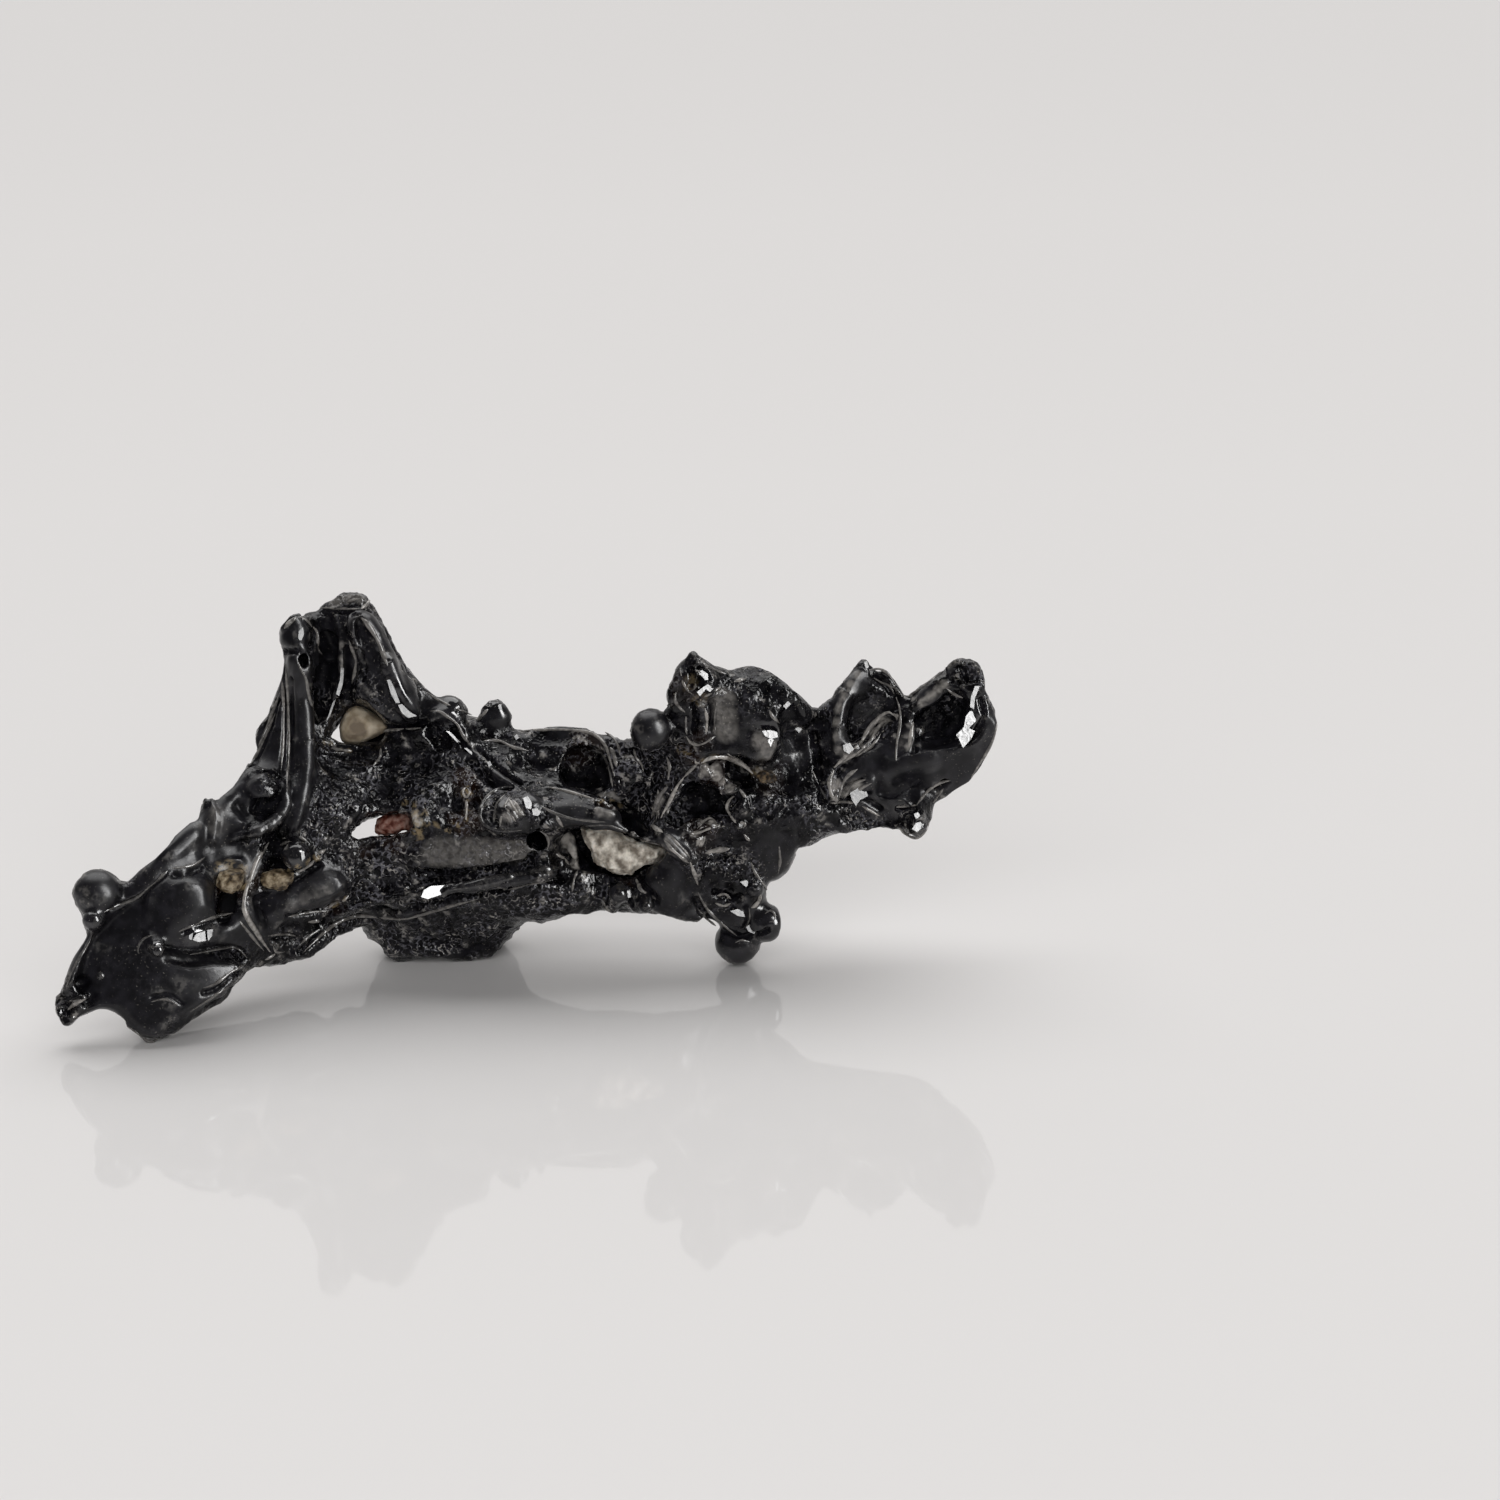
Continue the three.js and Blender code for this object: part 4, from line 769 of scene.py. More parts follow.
threads = [                         # radius in mm, share of pale wear and painted highlight, then front places
    ("tube", 0.11, 0, [(447, 890), (480, 884), (510, 877), (540, 871), (562, 867)]),
    ("ring of the stained rib", 0.03, 0.9, [
        (466, 787), (470, 791), (468, 797), (464, 796), (463, 790), (466, 787)]),
    ("stained rib", 0.03, 0.8, [(466, 798), (467, 808), (466, 820)]),
    ("third stripe of the knob", 0.03, 0.8, [(513, 800), (519, 808), (524, 816)]),
    ("long filament", 0.05, 1, [
        (269, 842), (264, 850), (258, 858), (254, 868), (251, 878), (247, 888), (244.5, 898), (244, 908),
        (248, 919), (255, 930), (262, 941), (268, 949), (272, 955)]),
    ("foot of the long filament", 0.04, 0.7, [(265, 960), (270, 957), (275, 954)]),
    ("short filament", 0.03, 0.5, [(234, 915), (241, 923), (250, 934), (258, 944), (264, 951)]),
    ("top lip of the fold", 0.035, 0.35, [(178, 932), (190, 926), (203, 921), (218, 916), (233, 913)]),
    ("lower edge of the fold", 0.03, 0.25, [
        (188, 955), (204, 952), (220, 949), (232, 947), (240, 950), (247, 958)]),
    ("arc by the bead", 0.03, 0.2, [(138, 953), (139, 945), (145, 938), (155, 935)]),
    ("crescent", 0.025, 0.3, [(151, 1002), (160, 999.5), (169, 1000), (179, 1006)]),
    ("first layer edge", 0.035, 0.4, [(203, 988), (213, 985), (222, 979), (231, 972), (246, 964)]),
    ("second layer edge", 0.03, 0.4, [(190, 1012), (206, 1001), (220, 992), (234, 982), (244, 971)]),
    ("edge of the crest", 0.035, 0.2, [
        (112, 908), (124, 903), (136, 898), (150, 886), (162, 876), (170, 868)]),
    ("second edge of the crest", 0.03, 0.2, [(104, 912), (118, 905), (131, 901), (137, 897)]),
    ("upper lip of the wing", 0.035, 0.3, [(172, 868), (186, 867), (197, 863), (205, 857)]),
    ("edge of the neck", 0.03, 0.15, [(92, 934), (88, 944), (80, 957), (72, 972), (66, 988)]),
    ("glossy edge of the tip", 0.05, 0.6, [(68, 1010), (73, 1005), (80, 1001), (86, 998)]),
    ("rim of the toe", 0.03, 0.3, [(128, 1026), (140, 1035), (150, 1042), (160, 1038)]),
    ("pale streak", 0.035, 0.9, [(284, 877), (295, 873), (304, 869), (312, 863), (317, 859)]),
    ("arc over the socket", 0.03, 0.3, [(282, 839), (292, 836), (302, 838), (310, 844)]),
    ("bar over the socket", 0.04, 0.5, [(280, 845), (285, 843), (292, 842)]),
    ("blob beside the socket", 0.045, 0.8, [(318, 852), (322, 852), (326, 849)]),
    ("lip under the satin patch", 0.04, 0.6, [(329, 909), (331, 905), (338, 902), (345, 899), (349, 895)]),
    ("ledge under the satin patch", 0.035, 0.4, [(288, 917), (300, 914), (312, 912), (328, 911)]),
    ("bar under the patch", 0.05, 0.45, [(308, 922), (315, 921), (322, 920)]),
    ("edge of the skirt", 0.04, 0.4, [
        (298, 958), (306, 950), (315, 941), (325, 932), (335, 924), (350, 917), (370, 916), (400, 919),
        (424, 914), (450, 906), (478, 899)]),
    ("lower rib", 0.03, 0.4, [(268, 936), (282, 934), (296, 936)]),
    ("second lower rib", 0.03, 0.3, [(300, 945), (308, 937), (320, 929)]),
    ("hook of the root", 0.03, 0.4, [(273, 946), (276, 952), (284, 952)]),
    ("left parallel ridge", 0.035, 0.4, [(282, 680), (283.5, 700), (283, 740), (281, 772)]),
    ("right parallel ridge", 0.035, 0.4, [(286, 664), (288, 700), (288.5, 745), (286.5, 792)]),
    ("flank edge", 0.03, 0.3, [(281, 690), (275, 706), (270, 719), (263, 736), (257, 750)]),
    ("second flank edge", 0.03, 0.3, [(276, 712), (268, 730), (260, 748), (250, 766)]),
    ("facet of the cap", 0.05, 0.5, [(284, 629), (290, 622), (297, 617)]),
    ("upper edge of the cap", 0.03, 0.4, [(299, 616), (307, 621), (312, 627)]),
    ("inner edge of the cap", 0.045, 0.6, [(313, 627), (317, 632), (317, 641), (317, 649), (322, 654)]),
    ("ring of the eye", 0.035, 0.4, [
        (300, 652), (297, 660), (301, 669), (306, 679), (308, 691), (311, 704), (316, 716), (320, 726),
        (322, 736)]),
    ("second short ridge", 0.04, 0.5, [(349, 640), (353, 651), (356, 660), (355, 672), (352, 684)]),
    ("edge of the right column", 0.05, 0.4, [
        (359, 615), (366, 622), (373, 632), (379, 643), (383, 654), (388, 666)]),
    ("under the broken top", 0.03, 0.4, [(344, 626), (351, 620), (358, 616)]),
    ("front edge of the broken top", 0.03, 0.35, [(321, 608), (335, 608), (350, 609), (361, 609)]),
    ("bright edge of the broken top", 0.045, 0.8, [(361, 609), (366, 605), (370, 600)]),
    ("rib of the broken top", 0.03, 0.4, [(346, 603), (353, 600), (359, 599)]),
    ("left lip of the peak window", 0.04, 0.6, [(322, 741), (327, 743), (333, 742)]),
    ("ledge", 0.035, 0.5, [(331, 748), (341, 750), (352, 751)]),
    ("right lip of the peak window", 0.035, 0.4, [
        (368, 738), (380, 732), (395, 730), (410, 729), (421, 728)]),
    ("comma", 0.03, 0.3, [(381, 747), (380, 757), (373, 766)]),
    ("ridge by the scoop", 0.035, 0.4, [
        (430, 711), (440, 712), (450, 718), (458, 725), (463, 735), (471, 746)]),
    ("ridge behind the diagonal", 0.035, 0.4, [(483, 741), (500, 741), (512, 747), (529, 751)]),
    ("flank of the second bump", 0.04, 0.4, [(477, 721), (483, 715), (488, 709)]),
    ("edge over the window", 0.035, 0.45, [
        (520, 731), (540, 730), (560, 729.5), (585, 731.5), (598, 737), (606, 747), (611, 762), (615, 778),
        (618, 790)]),
    ("second edge right of the window", 0.05, 0.35, [(610, 747), (614, 755), (617, 767)]),
    ("third edge right of the window", 0.03, 0.3, [(605, 732), (613, 738), (618, 746), (620, 755)]),
    ("inner edge of the window", 0.03, 0.4, [(601, 750), (607, 762), (611, 776), (613, 788)]),
    ("edge below the window", 0.035, 0.5, [(547, 787), (562, 790), (580, 795), (594, 799)]),
    ("ridge of the limb", 0.03, 0.25, [(540, 805), (552, 812), (570, 818), (590, 821), (606, 822)]),
    ("edge over the quartz", 0.03, 0.2, [
        (586, 826), (606, 825), (622, 830), (634, 837), (650, 842), (664, 846)]),
    ("short bright rib", 0.045, 0.7, [(556, 815), (559, 821), (563, 827)]),
    ("outer curl of the knob", 0.045, 0.05, [
        (521, 788), (506, 787), (493, 792), (484, 802), (480, 815), (484, 824), (493, 829), (505, 831),
        (522, 830)]),
    ("inner curl of the knob", 0.04, 0.2, [(505, 794), (499, 802), (495, 812), (494, 822)]),
    ("left edge of the striped face", 0.03, 0.5, [(510, 796), (505, 806), (501, 818), (500, 827)]),
    ("stripe of the knob", 0.035, 0.7, [(509, 799), (513, 806), (518, 813)]),
    ("second stripe of the knob", 0.03, 0.6, [(506, 808), (511, 815), (516, 822)]),
    ("lip of the lit wall", 0.035, 0.8, [(556, 854), (563, 858), (569, 865)]),
    ("rib below the wall", 0.03, 0.5, [(578, 870), (574, 880), (572, 892)]),
    ("second rib below the wall", 0.03, 0.4, [(583, 876), (581, 886), (579, 892)]),
    ("ring of the pit", 0.03, 0.4, [(540, 831), (546, 835), (549, 843), (547, 850)]),
    ("line below the tube", 0.03, 0.3, [(508, 890), (530, 884), (553, 880)]),
    ("edge of the blob", 0.04, 0.5, [(634, 876), (638, 883), (641, 890), (648, 894), (656, 899)]),
    ("bright bar of the strap", 0.055, 1, [(651, 825), (657, 829), (663, 833)]),
    ("edge of the strap", 0.04, 0.6, [(664, 840), (672, 849), (681, 857), (689, 863)]),
    ("upper edge of the strap", 0.035, 0.5, [(668, 834), (676, 842), (684, 850), (690, 858)]),
    ("ridge beside the blob", 0.04, 0.85, [(690, 862), (694, 872), (698, 885)]),
    ("long pale ridge", 0.04, 1, [(684, 777), (677, 787), (672, 797), (667, 807), (661, 818)]),
    ("beside the pale ridge", 0.06, 0.35, [(668, 786), (660, 797), (655, 809), (652, 818)]),
    ("upper end of the pale ridge", 0.035, 0.5, [(684, 777), (691, 770), (698, 763)]),
    ("squiggle of the wall", 0.035, 0.5, [(633, 746), (636, 758), (642, 766), (643, 772)]),
    ("rag of the wall", 0.04, 0.4, [(667, 757), (670, 768), (668, 780)]),
    ("arch rim", 0.065, 1, [
        (701, 763), (707, 759), (715, 757), (727, 757), (737, 761), (746, 767), (753, 774)]),
    ("second arch rim", 0.03, 0.5, [(727, 753.5), (734, 757), (740, 763)]),
    ("cup of the turret", 0.03, 0.45, [(686, 736), (690, 742), (698, 745), (707, 742), (715, 736)]),
    ("line of the stalk", 0.035, 0.8, [(705, 708), (707, 719), (706, 733)]),
    ("second line of the stalk", 0.025, 0.4, [(686, 716), (686, 728), (687, 735)]),
    ("collar of the hump", 0.03, 0.5, [(721, 687), (711, 693), (704, 697)]),
    ("left edge of the hump", 0.025, 0.3, [(717, 702), (715, 716), (715, 735)]),
    ("dash of the hump", 0.045, 0.7, [(734, 682), (740, 680), (746, 679)]),
    ("flank fold of the hump", 0.04, 0.5, [(769, 710), (773, 717), (779, 723)]),
    ("left rag of the turret", 0.035, 0.35, [(676, 692), (675, 700), (679, 707), (685, 712)]),
    ("top rag of the turret", 0.03, 0.4, [(680, 668), (682, 678), (686, 688), (692, 694)]),
    ("right rag of the turret", 0.03, 0.3, [(699, 660), (707, 666), (715, 670), (726, 674)]),
    ("loop of the bead", 0.035, 0.85, [(736, 794), (729, 801), (727, 808), (731, 816), (736, 823)]),
    ("below the loop", 0.03, 0.6, [(737, 829), (740, 823), (746, 824), (743, 828)]),
    ("rim right of the cave", 0.035, 0.5, [(735, 785), (741, 791), (747, 800), (750, 808)]),
    ("crumb of the cave floor", 0.03, 0.8, [(697, 829), (703, 822), (710, 818), (717, 823)]),
    ("second crumb of the cave floor", 0.03, 0.8, [(689, 834), (698, 833), (708, 829), (716, 825)]),
    ("third crumb of the cave floor", 0.03, 0.8, [(685, 839), (688, 846)]),
    ("fourth crumb of the cave floor", 0.03, 0.8, [(692, 837), (694, 847)]),
    ("fifth crumb of the cave floor", 0.03, 0.7, [(698, 838), (700, 846)]),
    ("sixth crumb of the cave floor", 0.03, 0.7, [(705, 836), (703, 844)]),
    ("pale bar", 0.06, 0.75, [(705, 853), (714, 851), (726, 849), (733, 850)]),
    ("chip by the pale bar", 0.04, 0.5, [(744, 834), (747, 838), (750, 841)]),
    ("chin rib", 0.03, 0.3, [(779, 846), (780, 860), (778, 874)]),
    ("edge of the chin", 0.035, 0.35, [(751, 862), (755, 872), (761, 881), (767, 890)]),
    ("crescent of the drip bead", 0.045, 0.9, [(759, 892), (760, 899), (756, 905), (751, 908)]),
    ("root of the drip", 0.035, 0.3, [(698, 892), (704, 904), (713, 915), (724, 925), (737, 936)]),
    ("second root of the drip", 0.03, 0.25, [(697, 908), (706, 918), (716, 926)]),
    ("arc on the drip", 0.025, 0.35, [(735, 943), (741, 940), (750, 942)]),
    ("ring on the right drip", 0.025, 0.4, [(765, 914), (770, 910), (775, 914), (774, 921), (769, 922)]),
    ("seam of the right drip", 0.025, 0.3, [(749, 908), (750, 918), (746, 928)]),
    ("rag above the drip", 0.03, 0.7, [(717, 896), (725, 894), (731, 899)]),
    ("second rag above the drip", 0.03, 0.6, [(715, 903), (724, 906), (731, 903)]),
    ("right top of the third lobe", 0.03, 0.4, [(869, 670), (880, 669), (889, 675), (896, 686)]),
    ("second right top of the third lobe", 0.025, 0.35, [(874, 678), (882, 683), (890, 686), (894, 694)]),
    ("right edge of the third lobe", 0.03, 0.5, [
        (896, 697), (900, 710), (900, 726), (897, 743), (896, 758), (898, 768)]),
    ("flake edge", 0.045, 0.75, [
        (897, 718), (889, 712), (880, 717), (873, 724), (867, 732), (860, 743), (850, 752), (841, 761),
        (834, 768)]),
    ("second flake edge", 0.04, 0.6, [
        (893, 721), (884, 722), (877, 729), (872, 739), (863, 748), (852, 756), (844, 762)]),
    ("third flake edge", 0.035, 0.6, [(881, 734), (874, 744), (865, 751), (855, 757)]),
    ("fourth flake edge", 0.04, 0.5, [(858, 769), (849, 775), (842, 785), (839, 798)]),
    ("fifth flake edge", 0.04, 0.6, [(867, 779), (857, 783), (849, 790), (844, 799)]),
    ("sixth flake edge", 0.035, 0.6, [(872, 783), (863, 787), (855, 793), (851, 800)]),
    ("outer flake edge", 0.05, 0.6, [(834, 770), (830, 780), (830, 790), (834, 800)]),
    ("base of the flakes", 0.035, 0.5, [(830, 803), (842, 802), (855, 803)]),
    ("bright dash", 0.03, 0.9, [(862, 806), (871, 811), (880, 816)]),
    ("rib before the third lobe", 0.025, 0.1, [(812, 770), (819, 786), (828, 801)]),
    ("pale rib of the curled lobe", 0.05, 0.75, [(913, 722), (911, 735), (909, 748)]),
    ("top rim of the curled lobe", 0.03, 0.3, [(907, 697), (918, 690), (930, 682), (941, 672)]),
    ("cross rib of the scoop", 0.03, 0.5, [(946, 688), (954, 694), (963, 698)]),
    ("lower outer rim", 0.03, 0.6, [(997, 722), (994, 736), (988, 750), (980, 763), (971, 778)]),
    ("edge of the flap", 0.035, 0.6, [
        (953, 780), (943, 782), (935, 785), (927, 792), (921, 799), (917, 805)]),
    ("stripe of the flap", 0.025, 0.4, [(944, 788), (938, 796), (933, 803)]),
    ("upper edge of the nub", 0.03, 0.5, [(888, 813), (895, 807), (906, 806), (918, 805)]),
    ("rim of the nub", 0.035, 0.5, [(899, 828), (907, 835), (916, 838), (925, 831), (930, 820)]),
    ("upper edge of the rope", 0.03, 0.25, [(424, 691), (437, 699), (450, 706), (462, 711), (472, 715)]),
]

glints = [                          # small glossy faces turned to the window: front places round each
    ("first face inside the fold", 0.35, [(196, 934), (205, 931), (206, 941), (198, 942), (193, 940)]),
    ("second face inside the fold", 0.2, [(207, 930), (213, 929), (212, 936), (208, 941)]),
    ("third face inside the fold", 0.05, [(189, 935), (193, 933), (192, 940), (189, 939)]),
    ("highlight of the hump", 0.55, [
        (762, 731), (770, 730), (777, 732), (778, 737), (771, 739), (765, 736)]),
    ("bright side of the knob", 0.35, [(523, 798), (528, 796), (532, 803), (531, 809), (526, 808)]),
    ("second bright side of the knob", 0.2, [(532, 809), (537, 808), (541, 812), (538, 816), (533, 815)]),
    ("dash by the scoop", 0.45, [(446, 731), (449, 731), (461, 742), (459, 744)]),
    ("dash of the diagonal", 0.3, [(464, 748), (467, 748), (474, 754), (472, 755)]),
    ("bead of the diagonal", 0.05, [(487, 762), (490, 761), (492, 765), (489, 767)]),
    ("slit of the curled lobe", 0.7, [
        (970, 711), (976, 712), (976, 721), (969, 728), (975, 731), (971, 739), (963, 748), (959, 739),
        (956, 735), (964, 727), (966, 716)]),
    ("upper slit of the curled lobe", 0.4, [
        (975, 686), (980, 686), (975, 698), (974, 709), (970, 707), (971, 697)]),
    ("bright chip", 0.3, [(843, 745), (850, 743), (854, 749), (849, 754), (844, 751)]),
    ("bright foot of the flakes", 0.15, [
        (850, 793), (858, 788), (866, 790), (868, 796), (860, 800), (856, 806), (852, 800)]),
    ("crumb of the nub", 0.5, [(912, 829), (916, 823), (922, 821), (923, 827), (917, 832)]),
    ("second crumb of the nub", 0.4, [(914, 814), (918, 812), (921, 817), (916, 819)]),
    ("arc of the turret", 0.5, [(697, 673), (702, 670), (708, 674), (708, 680), (705, 680), (702, 676)]),
    ("second arc of the turret", 0.45, [
        (697, 692), (702, 688), (708, 684), (713, 689), (710, 692), (706, 689), (700, 696)]),
    ("glint of the hump", 0.15, [(783, 706), (788, 701), (791, 704), (786, 709)]),
    ("second glint of the hump", 0.12, [(795, 729), (799, 726), (802, 729), (799, 733)]),
    ("dash of the cap", 0.1, [(299, 631), (303, 627), (304, 634), (301, 642), (298, 638)]),
    ("bright patch of the drip", 0.12, [(730, 911), (738, 909), (743, 911), (745, 917), (738, 916)]),
    ("soft patch of the drip", 0, [(746, 927), (750, 924), (757, 930), (754, 934), (748, 931)]),
    ("patch above the drip", 0.2, [(740, 882), (746, 880), (751, 883), (746, 887)]),
    ("cap of the third lobe", 0.3, [(864, 662), (867, 661), (869, 667), (866, 669)]),
    ("bar of the socketed droplet", 0.15, [(301, 852), (304, 851), (305, 858), (302, 861)]),
    ("spot on the second bump", 0.25, [(498, 705), (501, 704), (502, 709), (499, 709)]),
    ("spot by the ridge", 0.12, [(514, 736), (517, 734), (519, 738), (516, 740)]),
    ("highlight of the bead below the quartz", 0.2, [(627, 891), (630, 890), (631, 897), (628, 898)]),
    ("end of the tube", 0.8, [
        (421, 897), (424, 890), (431, 886), (447, 885), (449, 889), (440, 895), (428, 899)]),
    ("middle ridge", 0.1, [(341, 668), (344, 668), (343, 684), (339, 696), (336, 694), (340, 680)]),
    ("lower middle ridge", 0, [(333, 702), (336, 699), (330, 716), (326, 722)]),
    ("crease of the right column", 0.05, [
        (387, 680), (391, 679), (396, 692), (400, 703), (396, 703), (391, 694)]),
    ("lower crease of the right column", 0.1, [
        (398, 705), (402, 704), (410, 712), (417, 716), (408, 718), (402, 713)]),
]


def sculpted(piece):
    surface = surfaceOf(piece)
    places = vertexPlaces(piece)
    normals = np.empty(places.size)
    piece.data.vertices.foreach_get("normal", normals)
    normals = normals.reshape(-1, 3)
    original = places.copy()
    for name, place, reach, depth, facing in scrapes:
        hit = surface.ray_cast(viewPlace, frontRay(*place))
        facing = np.array(Vector(facing).normalized())
        above = (original - np.array(hit[0])) @ facing + depth
        gaps = np.sqrt(((original - np.array(hit[0])) ** 2).sum(1)) / reach
        places -= facing * (np.maximum(above, 0) * np.clip(2 * (1 - gaps ** 2), 0, 1))[:, None]
    for name, wide, high, along in strokes:
        line = smoothLine(along)
        depths = tracedDepths(surface, line)
        path = np.array([viewPlace + frontRay(*place) * depth for place, depth in zip(line, depths)])
        near = np.flatnonzero(((original > path.min(0) - wide) & (original < path.max(0) + wide)).all(1))
        gaps = np.sqrt(((original[near][:, None, :] - path[None]) ** 2).sum(2).min(1))
        share = np.clip(1 - (gaps / wide) ** 2, 0, 1)
        push = glass["strokeGain"] * high * share ** (2 if high > 0 else 1.5)
        places[near] += normals[near] * push[:, None]
    moveVertices(piece, places)
    applied(piece, "SMOOTH", iterations=1, factor=0.4)


# pushed in and out by a noise of this size and height, in mm
def kneaded(piece, kind, size, height, group="", **looks):
    texture = bpy.data.textures.new("knead", kind)
    texture.noise_scale = size
    for name, value in looks.items():
        setattr(texture, name, value)
    applied(piece, "DISPLACE", texture=texture, texture_coords="LOCAL", strength=height, mid_level=0.5,
            vertex_group=group)


# how strongly the zones of a skin cover each place
def zoneValues(places, surface, zones, least=0):
    values = np.full(len(places), float(least))
    for name, reach, strength, middles in zones:
        for place in middles:
            if len(place) == 3:
                middle = surface.find_nearest(laidOut(*place))[0]
            else:
                middle = surface.ray_cast(viewPlace, frontRay(*place))[0]
            if middle:
                gap = ((places - np.array(middle)) ** 2).sum(1) / reach ** 2
                values = np.maximum(values, strength * np.clip(1.6 * (1 - gap), 0, 1))
    return values


# crumpled everywhere but on the satin zones
def crumpled(piece):
    group = piece.vertex_groups.new(name="rough")
    values = 1 - zoneValues(vertexPlaces(piece), surfaceOf(piece), skins["satin"])
    steps = np.round(values * 10).astype(int)
    for step in range(1, 11):
        group.add(np.flatnonzero(steps == step).tolist(), step / 10, "REPLACE")
    kneaded(piece, "MUSGRAVE", 0.5, 0.09, "rough", musgrave_type="RIDGED_MULTIFRACTAL", octaves=2,
            noise_intensity=0.6, offset=0.9, gain=1.5)
    kneaded(piece, "CLOUDS", 0.16, 0.045, "rough", noise_depth=1)
    kneaded(piece, "CLOUDS", 0.9, 0.05, noise_depth=1)
    kneaded(piece, "CLOUDS", 0.35, 0.015, noise_depth=1)


def thinned(piece, faces):
    triangles = sum(len(face.vertices) - 2 for face in piece.data.polygons)
    if triangles > faces:
        applied(piece, "DECIMATE", decimate_type="COLLAPSE", ratio=faces / triangles)


# the piece keeps inside the box of the solid that it stands for, and stands flat on the floor
def keptInside(piece, node, spare):
    low, high = (np.array(corner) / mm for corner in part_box(node))
    moveVertices(piece, np.clip(vertexPlaces(piece), low - (spare, spare, 0), high + spare))


def finished(piece, material):
    piece.data.transform(Matrix.Scale(mm, 4))
    piece.data.materials.clear()
    piece.data.materials.append(material)
    pickOnly(piece)
    bpy.ops.object.shade_smooth()
    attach(piece, "root")
